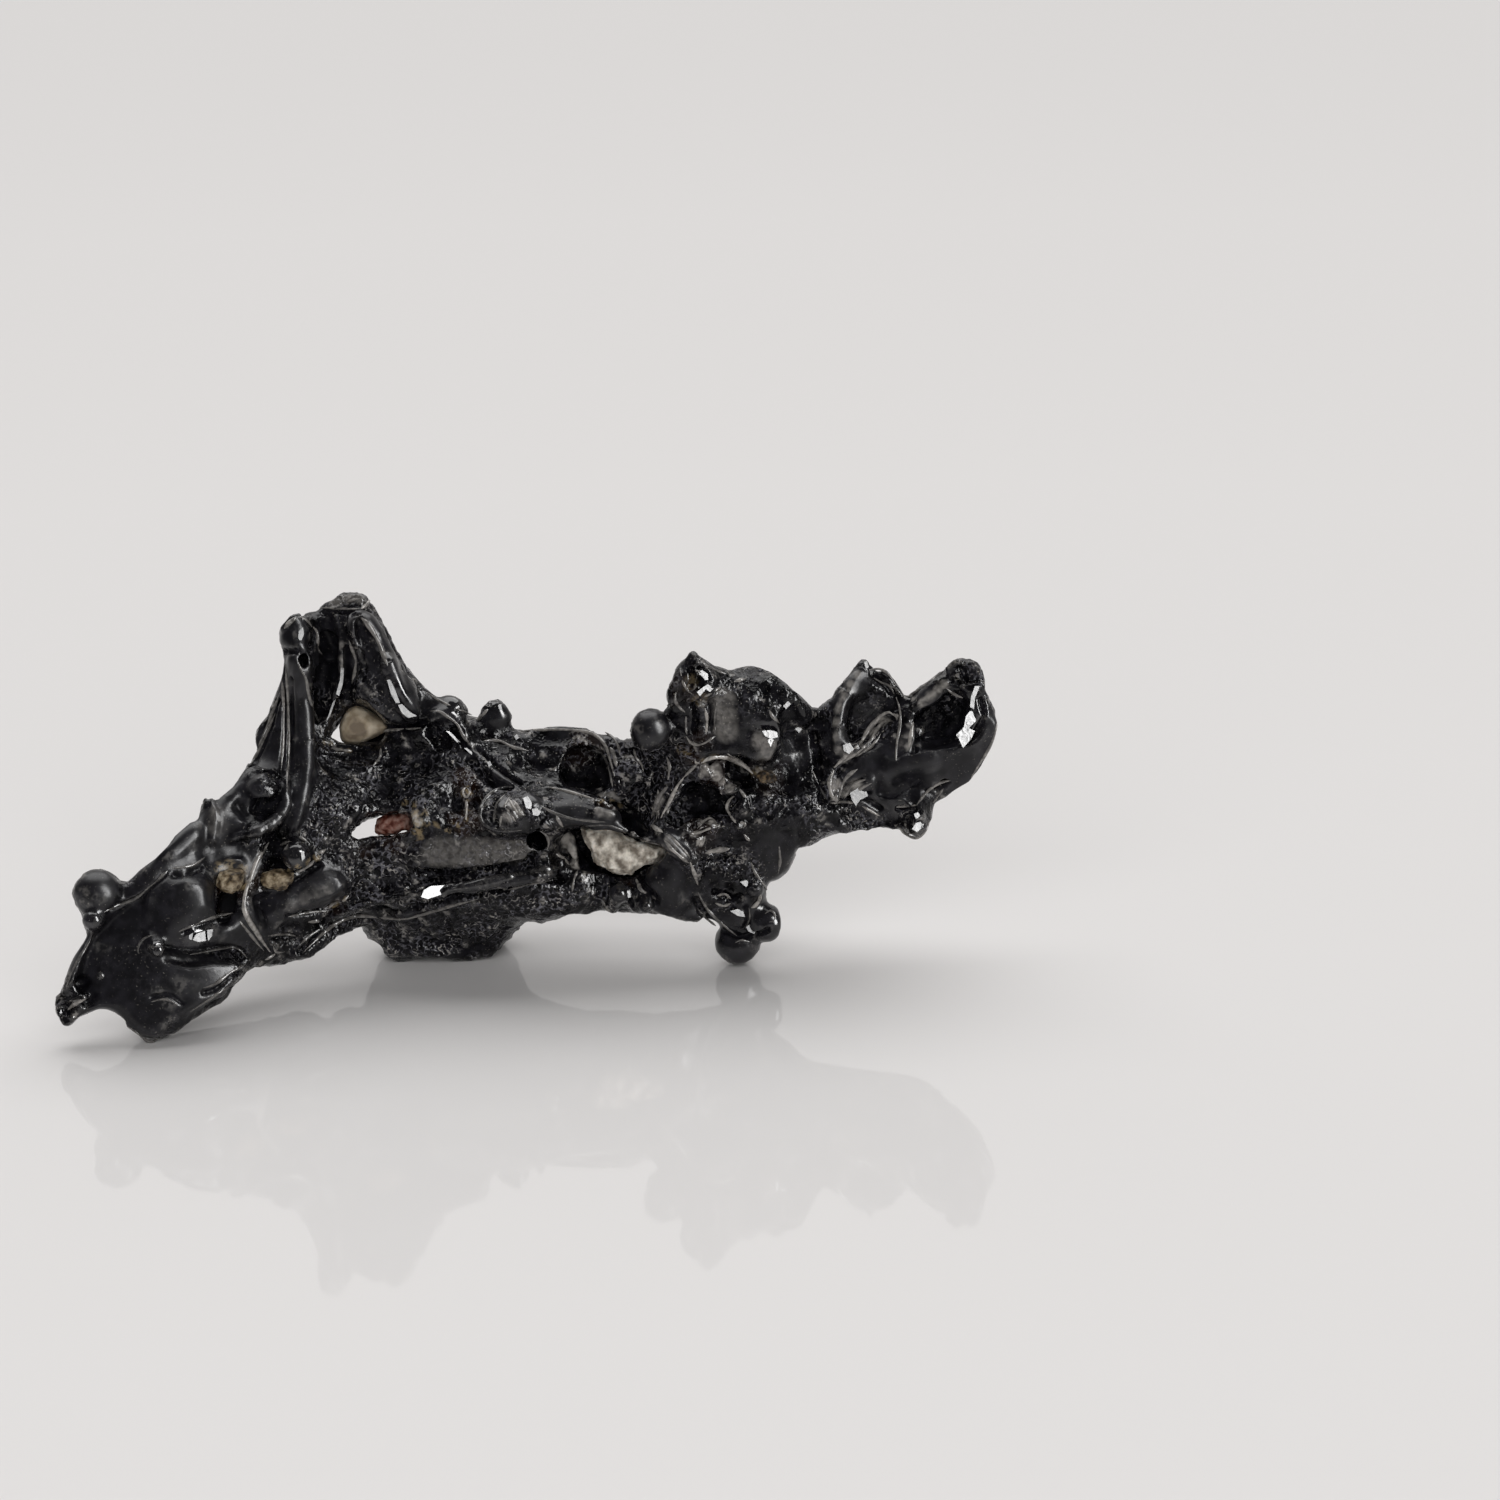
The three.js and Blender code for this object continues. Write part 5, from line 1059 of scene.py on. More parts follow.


# skins say how the surface of the glass changes from place to place, and where light and highlights are
# painted on it
skins = {                           # reach in mm, strength, and front places, or x, y, z places on the back
    "satin": [
        ("back rope", 0.4, 0.9, [
            (-3.4, 1.3, 3.8), (-2.4, 1.7, 4.2), (-1, 2.2, 4.05), (0.5, 2.1, 4), (1.6, 2.5, 3.45),
            (2.6, 2.4, 3.1), (3.6, 2.3, 3.4), (4.8, 2.2, 3.8)]),
        ("back strand", 0.4, 0.9, [
            (6, 1.7, 4.4), (7, 1.3, 4.75), (8, 1.8, 4.2), (9, 1.5, 4.6), (10, 1.2, 4.3)]),
        ("balls on the back", 0.5, 1, [
            (2.2, 2.4, 3.35), (-1.3, 2.2, 2.9), (7.2, 1.5, 3.1), (-5.1, -1.2, 2.6), (-1.9, 1.9, 6)]),
        ("back of the peak", 1.1, 0.9, [(-1.6, 1.6, 5.4), (-2.2, 1.3, 6.8)]),
        ("back of the middle", 0.9, 0.8, [(0.3, 2.2, 2.6), (4.6, 1.9, 2.6)]),
        ("back of the lobes", 1.1, 0.9, [(9.2, 1.4, 5.2), (8.2, 1.3, 3.4), (6, 1.2, 5.4)]),
        ("back of the wing", 1.2, 0.9, [(-6, -1, 2.4), (-7.2, -1.8, 1.6), (-4, 0.4, 3.4)]),
        ("back of the leg", 0.6, 0.7, [(-0.6, 1.4, 0.8)]),
        ("fold under the knob", 0.2, 1, [(288, 794), (283, 808), (273, 819), (259, 828)]),
        ("knob of the middle", 0.4, 0.6, [(505, 810), (520, 800), (515, 822)]),
        ("chin", 0.6, 0.7, [(775, 850), (780, 868)]),
        ("beads below the quartz", 0.3, 1, [(619, 894), (646, 906)]),
        ("round the left ochre grain", 0.4, 0.85, [(228, 856), (214, 862), (248, 862), (230, 905)]),
        ("foot of the left column", 0.45, 0.85, [(300, 790), (297, 815), (310, 770)]),
        ("face of the right column", 0.6, 0.55, [(370, 650), (376, 690), (396, 716)]),
        ("middle of the peak", 0.2, 0.7, [(340, 650), (336, 690), (326, 715)]),
        ("right of the hump", 0.5, 0.6, [(790, 720), (795, 750)]),
        ("second bump of the ridge", 0.4, 0.8, [(500, 716)]),
        ("plain band", 0.5, 0.3, [(440, 853), (470, 853), (500, 853), (525, 850)]),
        ("face of the wing", 1.1, 1, [
            (110, 960), (140, 930), (170, 900), (150, 985), (130, 1010), (190, 975)]),
        ("satin bulge", 0.9, 1, [(195, 905)]),
        ("fold of the wing", 0.6, 1, [(180, 940), (205, 938), (235, 935)]),
        ("crest of the wing", 0.75, 0.9, [(160, 862), (185, 838), (215, 820), (236, 795)]),
        ("bag under the droplet", 0.7, 0.9, [(262, 918), (285, 905), (312, 898), (330, 890)]),
        ("left column", 0.6, 1, [(290, 640), (290, 680), (296, 720), (298, 760), (270, 750)]),
        ("right column", 0.55, 0.9, [(368, 620), (384, 655), (398, 690), (412, 712), (440, 705)]),
        ("ropes of the middle", 0.3, 0.9, [
            (470, 752), (500, 780), (535, 798), (570, 791), (600, 735), (560, 728)]),
        ("tube", 0.25, 1, [(430, 893), (470, 887), (520, 880), (555, 873)]),
        ("boundary of the skirt", 0.2, 0.8, [(340, 918), (370, 914), (410, 916), (450, 905)]),
        ("limb over the quartz", 0.5, 0.8, [(570, 812), (610, 820), (645, 832), (675, 850)]),
        ("blob", 0.8, 0.9, [(660, 885), (680, 905)]),
        ("ball by the turret", 0.6, 1, [(651, 730)]),
        ("hump", 0.8, 0.6, [(735, 725), (765, 738)]),
        ("drip balls", 0.9, 1, [(738, 942), (768, 920)]),
        ("lower lobes", 1, 0.9, [(905, 775), (945, 765), (975, 745), (880, 780)]),
        ("bands of the lobes", 0.35, 1, [
            (838, 740), (842, 705), (856, 680), (930, 700), (911, 738), (990, 740)]),
        ("side droplets", 0.7, 1, [(98, 893), (93, 918)]),
        ("socketed droplet", 0.36, 1, [(297, 856)]),
        ("lit wall", 0.3, 0.9, [(567, 845)]),
    ],
    "gloss": [
        ("inside of the fold", 0.3, 1, [(196, 937), (206, 933)]),
        ("bead on the fold", 0.2, 0.7, [(157, 948)]),
        ("small droplet", 0.25, 0.7, [(95, 919)]),
        ("face of the tip", 0.4, 0.8, [(68, 1008), (80, 1000)]),
        ("end of the tube", 0.3, 1, [(430, 893), (446, 891)]),
        ("socketed droplet", 0.36, 0.9, [(297, 856)]),
        ("hump", 0.5, 1, [(768, 738)]),
        ("drip balls", 0.6, 0.7, [(738, 942), (772, 918)]),
        ("bumps of the ridge", 0.3, 0.8, [(455, 705), (497, 706), (452, 735)]),
        ("right column", 0.3, 0.7, [(384, 655), (398, 690)]),
        ("slit of the curled lobe", 0.4, 1, [(972, 710), (970, 730)]),
        ("crumbs of the nub", 0.3, 0.9, [(903, 812), (920, 818), (915, 832)]),
        ("knob of the middle", 0.4, 0.5, [(520, 805)]),
    ],
    # pale wear on lips, rims and crumbs, and in some zones painted light: a lit wall, painted highlights and
    # painted sheens
    "wearAndLight": [
        ("crumbs beside the red grain", 0.12, 0.6, [(418, 822), (414, 815)]),
        ("pale strap of the arch", 0.14, 0.75, [(715, 768), (717, 776), (723, 783), (730, 788)]),
        ("lump under the arch", 0.15, 0.5, [(706, 770)]),
        ("flank of the hump", 0.3, 0.3, [(723, 700), (724, 715), (726, 730)]),
        # painted highlight: the soft light spread below the hump's highlight
        ("below the hump highlight", 0.22, 0.4, [(760, 740), (770, 746), (766, 756)]),
        # painted light: the wall is made pale because it is lit
        ("lit wall", 0.15, 1, [(565, 838), (570, 840), (568, 848), (573, 850), (573, 858), (576, 864)]),
        ("left band of the third lobe", 0.12, 0.4, [
            (857, 674), (850, 684), (843, 696), (838, 708), (836, 722), (836, 736), (838, 750)]),
        ("outer band of the curled lobe", 0.11, 0.6, [(922, 703), (930, 697), (938, 690), (944, 684)]),
        ("pale rib", 0.09, 0.6, [(911, 726), (910, 736), (908, 746)]),
        ("striped face of the knob", 0.14, 0.45, [(508, 818), (512, 806), (518, 812)]),
        ("facet beside the cleft", 0.12, 0.45, [(600, 812), (609, 814)]),
        ("tan rim of the window", 0.1, 0.5, [(602, 794), (611, 795), (617, 799)]),
        ("strap", 0.09, 0.45, [(668, 839), (676, 847), (684, 855)]),
        ("crumbs of the cave floor", 0.1, 0.9, [(702, 824), (712, 822), (694, 834), (700, 842)]),
        ("broken top", 0.16, 0.3, [(335, 603), (348, 598), (360, 598)]),
        # painted highlight along the middle ridge
        ("middle ridge", 0.07, 0.5, [(341, 645), (342, 658), (342, 670)]),
        ("flakes", 0.16, 0.6, [(884, 720), (874, 733), (862, 747), (848, 758)]),
        ("lower flakes", 0.16, 0.65, [(835, 785), (845, 792), (855, 785)]),
        ("shards over the waist", 0.14, 0.6, [(660, 800), (656, 810)]),
        ("plain band", 0.4, 0.25, [(438, 854), (454, 854), (470, 854), (486, 853), (502, 853), (518, 852)]),
        ("left of the pit", 0.08, 0.35, [(550, 838), (553, 846)]),
        # painted highlight: a broad satin highlight on the crest
        ("crest of the wing", 0.25, 0.15, [(217, 812), (218, 826)]),
        # painted sheen on the satin patch
        ("satin patch", 0.15, 0.22, [(292, 906), (304, 900), (316, 893), (328, 888)]),
    ],
    # how thick the grit is, and in some zones painted light: the lit wall, and the shaded skirt lifted
    "gritAndLight": [
        ("between the columns", 0.5, 0.9, [(318, 655), (322, 690), (350, 665), (362, 690)]),
        ("middle", 1.3, 0.6, [(340, 790), (390, 860), (440, 790), (420, 870), (480, 900), (360, 870)]),
        ("pale band", 0.5, 0.8, [(440, 853), (470, 853), (500, 853), (525, 850)]),
        # grit on the skirt, raised to lift its shade: partly painted light
        ("skirt", 0.8, 1, [(400, 935), (440, 935), (480, 925), (530, 905)]),
        ("crumpled wall", 0.9, 1, [(640, 780), (655, 800), (670, 765), (630, 760)]),
        ("right body", 0.9, 0.25, [(740, 860), (780, 820), (720, 880), (820, 815), (870, 815)]),
        ("flakes", 0.5, 0.8, [(870, 735), (850, 775), (850, 795)]),
        ("satin patch", 0.45, 0.7, [(295, 903), (322, 892)]),
        ("lower wing", 0.6, 0.5, [(200, 970), (225, 962)]),
        # painted light on the lit wall
        ("lit wall", 0.3, 1, [(567, 845)]),
        ("bands of the lobes", 0.2, 0.7, [(838, 735), (845, 700), (932, 700)]),
        ("knob", 0.5, 0.6, [(520, 805)]),
    ],
    "ochre": [
        ("crumbs beside the red grain", 0.13, 1, [(418, 824), (414, 815), (417, 831)]),
        ("crumbs of the left grain", 0.14, 0.8, [(220, 868), (230, 865), (242, 870), (243, 884)]),
        ("tail of the right grain", 0.09, 1, [(288, 871), (298, 867), (308, 862), (317, 858)]),
        ("edge of the cleft", 0.07, 0.9, [(602, 800), (612, 801), (620, 804)]),
        ("crumbs of the rib", 0.07, 0.8, [(437, 826), (448, 830), (458, 826)]),
        ("ring of the rib", 0.06, 0.9, [(466, 789), (470, 793), (466, 797), (463, 793)]),
        ("rib", 0.05, 0.7, [(466, 800), (467, 810), (466, 820)]),
        ("crumbs by the slot", 0.08, 0.6, [(405, 802), (414, 805), (425, 813), (427, 824), (421, 837)]),
        ("arch rim", 0.07, 0.4, [(703, 760), (715, 757), (728, 757), (740, 764), (751, 773)]),
        ("under the peak window", 0.05, 0.8, [(324, 742), (331, 743), (340, 750), (350, 751)]),
        ("lip under the patch", 0.06, 0.8, [(333, 906), (338, 902), (345, 899)]),
        ("turret", 0.2, 0.3, [(690, 682), (700, 700)]),
        ("below the turret", 0.1, 0.5, [(681, 750), (688, 753)]),
        ("below the quartz", 0.06, 0.8, [(623, 872), (630, 872)]),
        ("beside the brown grain", 0.12, 0.35, [(758, 772), (770, 776)]),
    ],
    "stain": [
        ("left cleft", 0.4, 1, [(228, 885), (226, 905), (245, 880)]),
        ("right cleft", 0.3, 0.7, [(270, 878)]),
        ("stained rib", 0.4, 0.9, [(465, 780), (467, 800), (455, 812), (470, 825)]),
        ("slot", 0.35, 0.8, [(410, 825), (395, 840), (360, 846)]),
        ("lip under the patch", 0.3, 0.8, [(335, 904)]),
        ("window", 0.5, 0.5, [(590, 740), (575, 748)]),
        ("cleft below the wedge", 0.3, 1, [(610, 804), (625, 812)]),
        ("below the quartz", 0.2, 0.8, [(622, 876), (630, 880)]),
        ("arch", 0.5, 0.7, [(765, 778), (715, 775), (700, 750)]),
        ("turret", 0.5, 0.4, [(690, 690), (685, 745)]),
        ("cave floor", 0.5, 0.6, [(700, 835)]),
    ],
}


beads = [                           # crisp droplets: radius in mm, how far they are sunk, and a front place
    ("small side droplet", 0.215, 0.8, (93, 920)),
    ("bead on the fold", 0.13, 0.5, (158, 950)),
    ("bead below the quartz", 0.15, 0.75, (620, 894)),
    ("bead by the blob", 0.1, 0.6, (647, 906)),
    ("bead on the tip", 0.1, 0.5, (101, 976)),
]


# fine ridges and lips stand on the finished surface, half sunk in it, so that they stay crisp
def makeThreads(surface):
    pieces = []
    for name, radius, pale, places in threads:
        line = smoothLine(places, 3)
        shares = np.linspace(0, 1, len(line))
        radii = radius * np.clip(5 * np.minimum(shares, 1 - shares) + 0.2, 0, 1)  # tapered at both ends
        radii *= 1 + 0.25 * np.sin(11 * shares + len(name))                       # and a little uneven
        points = [viewPlace + frontRay(*place) * (depth + 0.2 * radius)
                  for place, depth in zip(line, tracedDepths(surface, line))]
        piece = rope(points, radii, 2)
        setSkin(piece, "wearAndLight", pale)
        pieces.append(piece)
    for name, radius, sunk, place in beads:
        depth = tracedDepths(surface, [place])[0]
        piece = ball(viewPlace + frontRay(*place) * (depth + sunk * radius) - toPart, radius)
        setSkin(piece, "wearAndLight", 0)
        pieces.append(piece)
    return joined(pieces)


glintTurn = 1.25                    # how much more a facet faces the camera than the window


# small smooth facets that mirror the window, each on a stub that is sunk in the glass
def makeGlints(surface):
    pieces = []
    for name, shine, edge in glints:
        middle = np.mean(edge, axis=0)
        within = edge + [tuple((middle + place) / 2) for place in edge]
        depths = tracedDepths(surface, within)
        spot = viewPlace + frontRay(*middle) * np.median(depths)
        eyeward, windowward = viewPlace - spot, Vector(windowPlace) / mm - spot
        facing = glintTurn * eyeward.normalized() + windowward.normalized()
        rays = [frontRay(*place) for place in within]
        flat = [(spot - viewPlace).dot(facing) / ray.dot(facing) for ray in rays]
        forward = min(depth - distance for depth, distance in zip(depths, flat)) - 0.01
        bpy.ops.mesh.primitive_cylinder_add(vertices=len(edge), end_fill_type="NGON")
        piece = bpy.context.object
        for index, vertex in enumerate(piece.data.vertices):
            corner, upper = index // 2, index % 2
            distance = flat[corner] + forward if upper else max(depths[corner], flat[corner]) + 0.1
            vertex.co = viewPlace + rays[corner] * distance
        onWholeMesh(piece, bpy.ops.mesh.normals_make_consistent, inside=False)
        setSkin(piece, "satin", 1)
        setSkin(piece, "gloss", shine)
        pieces.append(piece)
    return joined(pieces)


glassBody = massOfGlass()
print("glass mass made,", len(glassBody.data.polygons), "faces")
sculpted(glassBody)
crumpled(glassBody)
trimmed(glassBody)
print("glass sculpted")
thinned(glassBody, glass["faces"])
keptInside(glassBody, "glass", 0.05)
glassSurface = surfaceOf(glassBody)
glassThreads = makeThreads(glassSurface)
glassThreads.name = "glassThreads"
keptInside(glassThreads, "glass", 0.05)
glassGlints = makeGlints(glassSurface)
glassGlints.name = "glassGlints"
keptInside(glassGlints, "glass", 0.05)
print("glass thinned,", len(glassThreads.data.polygons), "faces in its threads")


def painted(piece, least):
    places = vertexPlaces(piece)
    for skin, zones in skins.items():
        if skin not in piece.data.attributes:
            setSkin(piece, skin, zoneValues(places, glassSurface, zones, least.get(skin, 0)))


# an entry is a link where its value is an output, and else the value of an input or a setting
def fillNode(node, entries):
    for name, value in entries.items():
        if isinstance(value, bpy.types.NodeSocket):
            node.id_data.links.new(value, node.inputs[name])
        elif isinstance(name, int) or name in node.inputs:
            node.inputs[name].default_value = value
        else:
            setattr(node, name, value)
    return node


def addNode(tree, kind, entries=None, output=0):
    return fillNode(tree.nodes.new("ShaderNode" + kind), entries or {}).outputs[output]


def newMaterial(name):
    material = bpy.data.materials.new(name)
    material.use_nodes = True
    return material, material.node_tree, material.node_tree.nodes["Principled BSDF"]


def perMm(size):
    return 1 / (size * mm)


def between(low, high, least=0, most=1):
    return {"From Min": low, "From Max": high, "To Min": least, "To Max": most}


times = {"operation": "MULTIPLY", "use_clamp": True}
glassNoises = {                     # size in mm and detail
    "patches": (1.4, 2),
    "clusters": (0.7, 2),
    "mottle": (0.22, 1),
    "flecks": (0.3, 0),
    "folds": (0.15, 1),             # finer on the real one, and drawn as coarse as it needs to show
    "wear": (0.12, 1),
    "crumbs": (0.1, 1),
    "breaks": (0.09, 1),
    "specks": (0.04, 0),
}
glassColours = {                    # from the black glass up to its rubbed edges and painted highlights
    "glass": "#020203",
    "patches": "#09080b",
    "haze": "#232227",
    "stains": "#21140d",
    "grit": "#75747b",
    "crumbs": "#8d7d61",
    "flecks": "#b8b2a8",
    # pale of rubbed edges, also used for painted highlights and lit faces
    "rubbedAndLit": "#b2ada7",
}


# natural silica-rich impact glass, quenched in flight: near black, with a thin weathered skin that is satin
# on stretched ropes and droplets, and elsewhere pitted and set with grit that melted into it
def impactGlass():
    material, tree, shader = newMaterial("impactGlass")
    where = addNode(tree, "TexCoord", {}, "Object")
    edges = addNode(tree, "NewGeometry", {}, "Pointiness")
    satin, gloss, wearAndLight, gritAndLight, ochre, stain = (
        addNode(tree, "Attribute", {"attribute_name": name}, "Fac") for name in skins)
    patches, clusters, mottle, flecks, folds, wear, crumbs, breaks, specks = (
        addNode(tree, "TexNoise", {"Scale": perMm(size), "Detail": detail, "Vector": where})
        for size, detail in glassNoises.values())
    bare = addNode(tree, "MapRange", {"Value": satin, **between(0.15, 0.75, 1, 0.07)})

    # grit: short worn crests that wind about, grey on black, thicker where clusters stuck to the hot glass
    offCrest = addNode(tree, "Math", {"operation": "SUBTRACT", 0: folds, 1: 0.5})
    fromCrest = addNode(tree, "Math", {"operation": "ABSOLUTE", 0: offCrest})
    broken = addNode(tree, "MapRange", {"Value": breaks, **between(0.36, 0.56)})
    crest = addNode(tree, "MapRange", {"Value": fromCrest, **between(0.08, 0.01, 0, broken)})
    stuck = addNode(tree, "MapRange", {"Value": clusters, **between(0.44, 0.64, 0.02, 0.7)})
    gritAndLightAmount = addNode(tree, "MapRange", {"Value": gritAndLight, **between(0, 1, -0.12, 0.34)})
    thick = addNode(tree, "Math", {"operation": "ADD", 0: stuck, 1: gritAndLightAmount})
    amount = addNode(tree, "Math", {**times, 0: thick, 1: bare})
    grit = addNode(tree, "Math", {**times, 0: crest, 1: amount})

    # pale flecks on the highest crests, and loose specks
    fleck = addNode(tree, "MapRange", {"Value": flecks, **between(0.55, 0.68, 0, amount)})
    highFleck = addNode(tree, "MapRange", {"Value": crest, **between(0.5, 0.9, 0, fleck)})
    strewn = addNode(tree, "MapRange", {"Value": clusters, **between(0.4, 0.65, 0.1, 0.6)})
    fewer = addNode(tree, "MapRange", {"Value": satin, **between(0, 1, 1, 0.4)})
    loose = addNode(tree, "Math", {**times, 0: strewn, 1: fewer})
    speck = addNode(tree, "MapRange", {"Value": specks, **between(0.74, 0.8, 0, loose)})
    pale = addNode(tree, "Math", {"operation": "MAXIMUM", 0: highFleck, 1: speck})

    # a grey haze, brown stains and ochre crumbs in the clefts, edges and lips rubbed pale, and painted
    # highlights and lit faces from the wearAndLight skin
    mottled = addNode(tree, "MapRange", {"Value": mottle, **between(0.4, 0.75, 0, 0.6)})
    haze = addNode(tree, "Math", {"operation": "MULTIPLY_ADD", 0: satin, 1: 0.3, 2: mottled})
    stained = addNode(tree, "MapRange", {"Value": clusters, **between(0.4, 0.6, 0, stain)})
    crumbly = addNode(tree, "MapRange", {"Value": crumbs, **between(0.38, 0.5, 0, ochre)})
    spared = addNode(tree, "MapRange", {"Value": satin, **between(0, 1, 0.5, 0.15)})
    patchy = addNode(tree, "MapRange", {"Value": breaks, **between(0.4, 0.6, 0, spared)})
    edge = addNode(tree, "MapRange", {"Value": edges, **between(0.54, 0.62, 0, patchy)})
    uneven = addNode(tree, "MapRange", {"Value": wear, **between(0.35, 0.6, 0.45, 1)})
    wearAndLightShare = addNode(tree, "Math", {**times, 0: wearAndLight, 1: uneven})
    rubbedAndLit = addNode(tree, "Math", {"operation": "ADD", 0: edge, 1: wearAndLightShare})
    under, *layers = (toLinear(hexColour) for hexColour in glassColours.values())
    for share, over in zip((patches, haze, stained, grit, crumbly, pale, rubbedAndLit), layers):
        under = addNode(tree, "Mix", {"data_type": "RGBA", 0: share, 6: under, 7: over}, 2)

    # satin skin spreads its highlights, and fresh droplets and facets keep theirs sharp
    satinRough = addNode(tree, "MapRange", {"Value": satin, **between(0, 1, 0.2, 0.33)})
    patchRough = addNode(tree, "MapRange", {"Value": patches, **between(0.3, 0.7, -0.04, 0.04)})
    skinRough = addNode(tree, "Math", {"operation": "ADD", 0: satinRough, 1: patchRough})
    glossed = addNode(tree, "Math", {"operation": "MULTIPLY_ADD", 0: gloss, 1: -0.22, 2: skinRough})
    rough = addNode(tree, "Math", {"operation": "MAXIMUM", 0: glossed, 1: 0.07})

    # hollows hold a film of dust that dulls them
    clean = addNode(tree, "MapRange", {"Value": edges, **between(0.47, 0.56, 0.06, 0.55)})
    cleaner = addNode(tree, "Math", {"operation": "MULTIPLY_ADD", 0: satin, 1: 0.1, 2: clean})
    shine = addNode(tree, "Math", {"operation": "MULTIPLY_ADD", 0: gloss, 1: 0.45, 2: cleaner})

    gaps = addNode(tree, "MapRange", {"Value": breaks, **between(0.3, 0.6, 0.3, 1)})
    heaped = addNode(tree, "MapRange", {"Value": thick, **between(0.1, 0.7, 0.35, 1)})
    heapedBare = addNode(tree, "Math", {**times, 0: heaped, 1: bare})
    most = addNode(tree, "Math", {**times, 0: gaps, 1: heapedBare})
    height = addNode(tree, "MapRange", {"Value": fromCrest, **between(0.2, 0, 0, most)})
    bump = addNode(tree, "Bump", {"Distance": 0.03 * mm, "Height": height})
    fillNode(shader, {"Base Color": under, "Roughness": rough, "Specular IOR Level": shine, "IOR": 1.5,
                      "Normal": bump})
    return material


painted(glassBody, {})
painted(glassThreads, {"satin": 0.75, "gloss": 0.4})
glassMaterial = impactGlass()
finished(glassBody, glassMaterial)
finished(glassThreads, glassMaterial)
finished(glassGlints, glassMaterial)
bpy.ops.object.shade_flat()
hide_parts("glass")
print("glass finished")


# mineral grains caught in the glass
grains = {                          # front places round each, half its depth in mm, and how crumbly it is
    "quartz_grain": {"slot": "pale_quartz", "deep": 0.42, "crumb": 0.1, "places": [
        (583, 829), (598, 827), (612, 827), (625, 838), (640, 843), (655, 845), (665, 848), (660, 858),
        (648, 863), (635, 868), (632, 874), (620, 873), (607, 868), (597, 860), (592, 850), (587, 840)]},
    "tan_grain": {"slot": "tan_mineral", "deep": 0.34, "crumb": 0.03, "places": [
        (342, 735), (341, 727), (345, 716), (350, 709), (357, 706), (365, 709), (375, 715), (384, 721),
        (390, 728), (379, 734), (369, 739), (360, 743), (348, 743), (343, 740)]},
    "red_grain": {"slot": "red_mineral", "deep": 0.2, "crumb": 0.08, "places": [
        (375, 830), (377, 824), (381, 818), (387, 815), (397, 815), (406, 812), (411, 815), (413, 822),
        (411, 831), (402, 830), (396, 834), (387, 835), (379, 834)]},
    "ochre_grain_left": {"slot": "ochre_mineral", "deep": 0.24, "crumb": 0.09, "places": [
        (218, 872), (225, 868), (232, 870), (240, 867), (244, 872), (242, 881), (239, 889), (232, 893),
        (224, 890), (217, 885), (216, 878)]},
    "ochre_grain_right": {"slot": "ochre_mineral", "deep": 0.22, "crumb": 0.06, "places": [
        (260, 875), (270, 871), (281, 869), (288, 872), (296, 874), (291, 880), (285, 888), (279, 891),
        (271, 888), (263, 886), (260, 881)]},
    "brown_grain": {"slot": "brown_mineral", "deep": 0.14, "crumb": 0.05, "places": [
        (756, 776), (760, 772), (767, 771), (775, 775), (776, 781), (769, 784), (760, 783)]},
}
# size of each ring round a grain, and its place as a share of the half depth
pebbleRings = [(0.6, 1), (0.95, 0.65), (1.08, 0.1), (1.08, -0.2), (0.9, -0.7), (0.5, -1)]
grainVoxel = 0.03                   # mm


def grainBody(node, places, deep, crumb):
    low, high = (Vector(corner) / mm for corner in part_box(node))
    ahead = viewTurn @ Vector((0, 0, -1))
    away = ((low + high) / 2 - viewPlace).dot(ahead)
    points = [viewPlace + frontRay(*place) * away / frontRay(*place).dot(ahead) for place in places]
    centre = sum(points, Vector()) / len(points)
    bpy.ops.mesh.primitive_circle_add(vertices=len(points), radius=1, fill_type="NGON")
    body = bpy.context.object
    body.name = node + "_rough"
    size, share = pebbleRings[0]
    for vertex, point in zip(body.data.vertices, points):
        vertex.co = centre + (point - centre) * size + ahead * share * deep
    bpy.ops.object.mode_set(mode="EDIT")
    bpy.ops.mesh.select_all(action="SELECT")
    for nextSize, nextShare in pebbleRings[1:]:
        step, middle = ahead * (nextShare - share) * deep, centre + ahead * nextShare * deep
        bpy.ops.mesh.extrude_region_move(TRANSFORM_OT_translate={"value": step})
        bpy.ops.transform.resize(value=(nextSize / size,) * 3, center_override=middle)
        size, share = nextSize, nextShare
    onWholeMesh(body, bpy.ops.mesh.normals_make_consistent, inside=False)
    remeshed(body, grainVoxel, 2)
    kneaded(body, "CLOUDS", 0.2, 1.2 * crumb)
    kneaded(body, "CLOUDS", 0.07, 0.6 * crumb)
    return body


minerals = {                        # what each is, its colours from dark to pale, and its grain in mm
    "paleQuartz": {"colours": ("#756c61", "#b7afa3", "#f6efe3"), "grain": 0.2, "roughness": 0.42},
    "tanFeldspar": {"colours": ("#7f7262", "#a39580", "#c4b8a4"), "grain": 0.3, "roughness": 0.3},
    "redBakedClay": {"colours": ("#55281e", "#8b6155", "#b08f84"), "grain": 0.12, "roughness": 0.5},
    "ochreSiltstone": {"colours": ("#352b1f", "#74654f", "#b3a58d"), "grain": 0.13, "roughness": 0.55},
    "brownSiltstone": {"colours": ("#120e0b", "#33291e", "#6b5a44"), "grain": 0.08, "roughness": 0.5},
}
mineralOf = {"pale_quartz": "paleQuartz", "tan_mineral": "tanFeldspar", "red_mineral": "redBakedClay",
             "ochre_mineral": "ochreSiltstone", "brown_mineral": "brownSiltstone"}
paleRim = {"from": -0.68, "to": -0.5, "colours": ("#9a8968", "#e6dcc8")}  # mm along x on the red grain


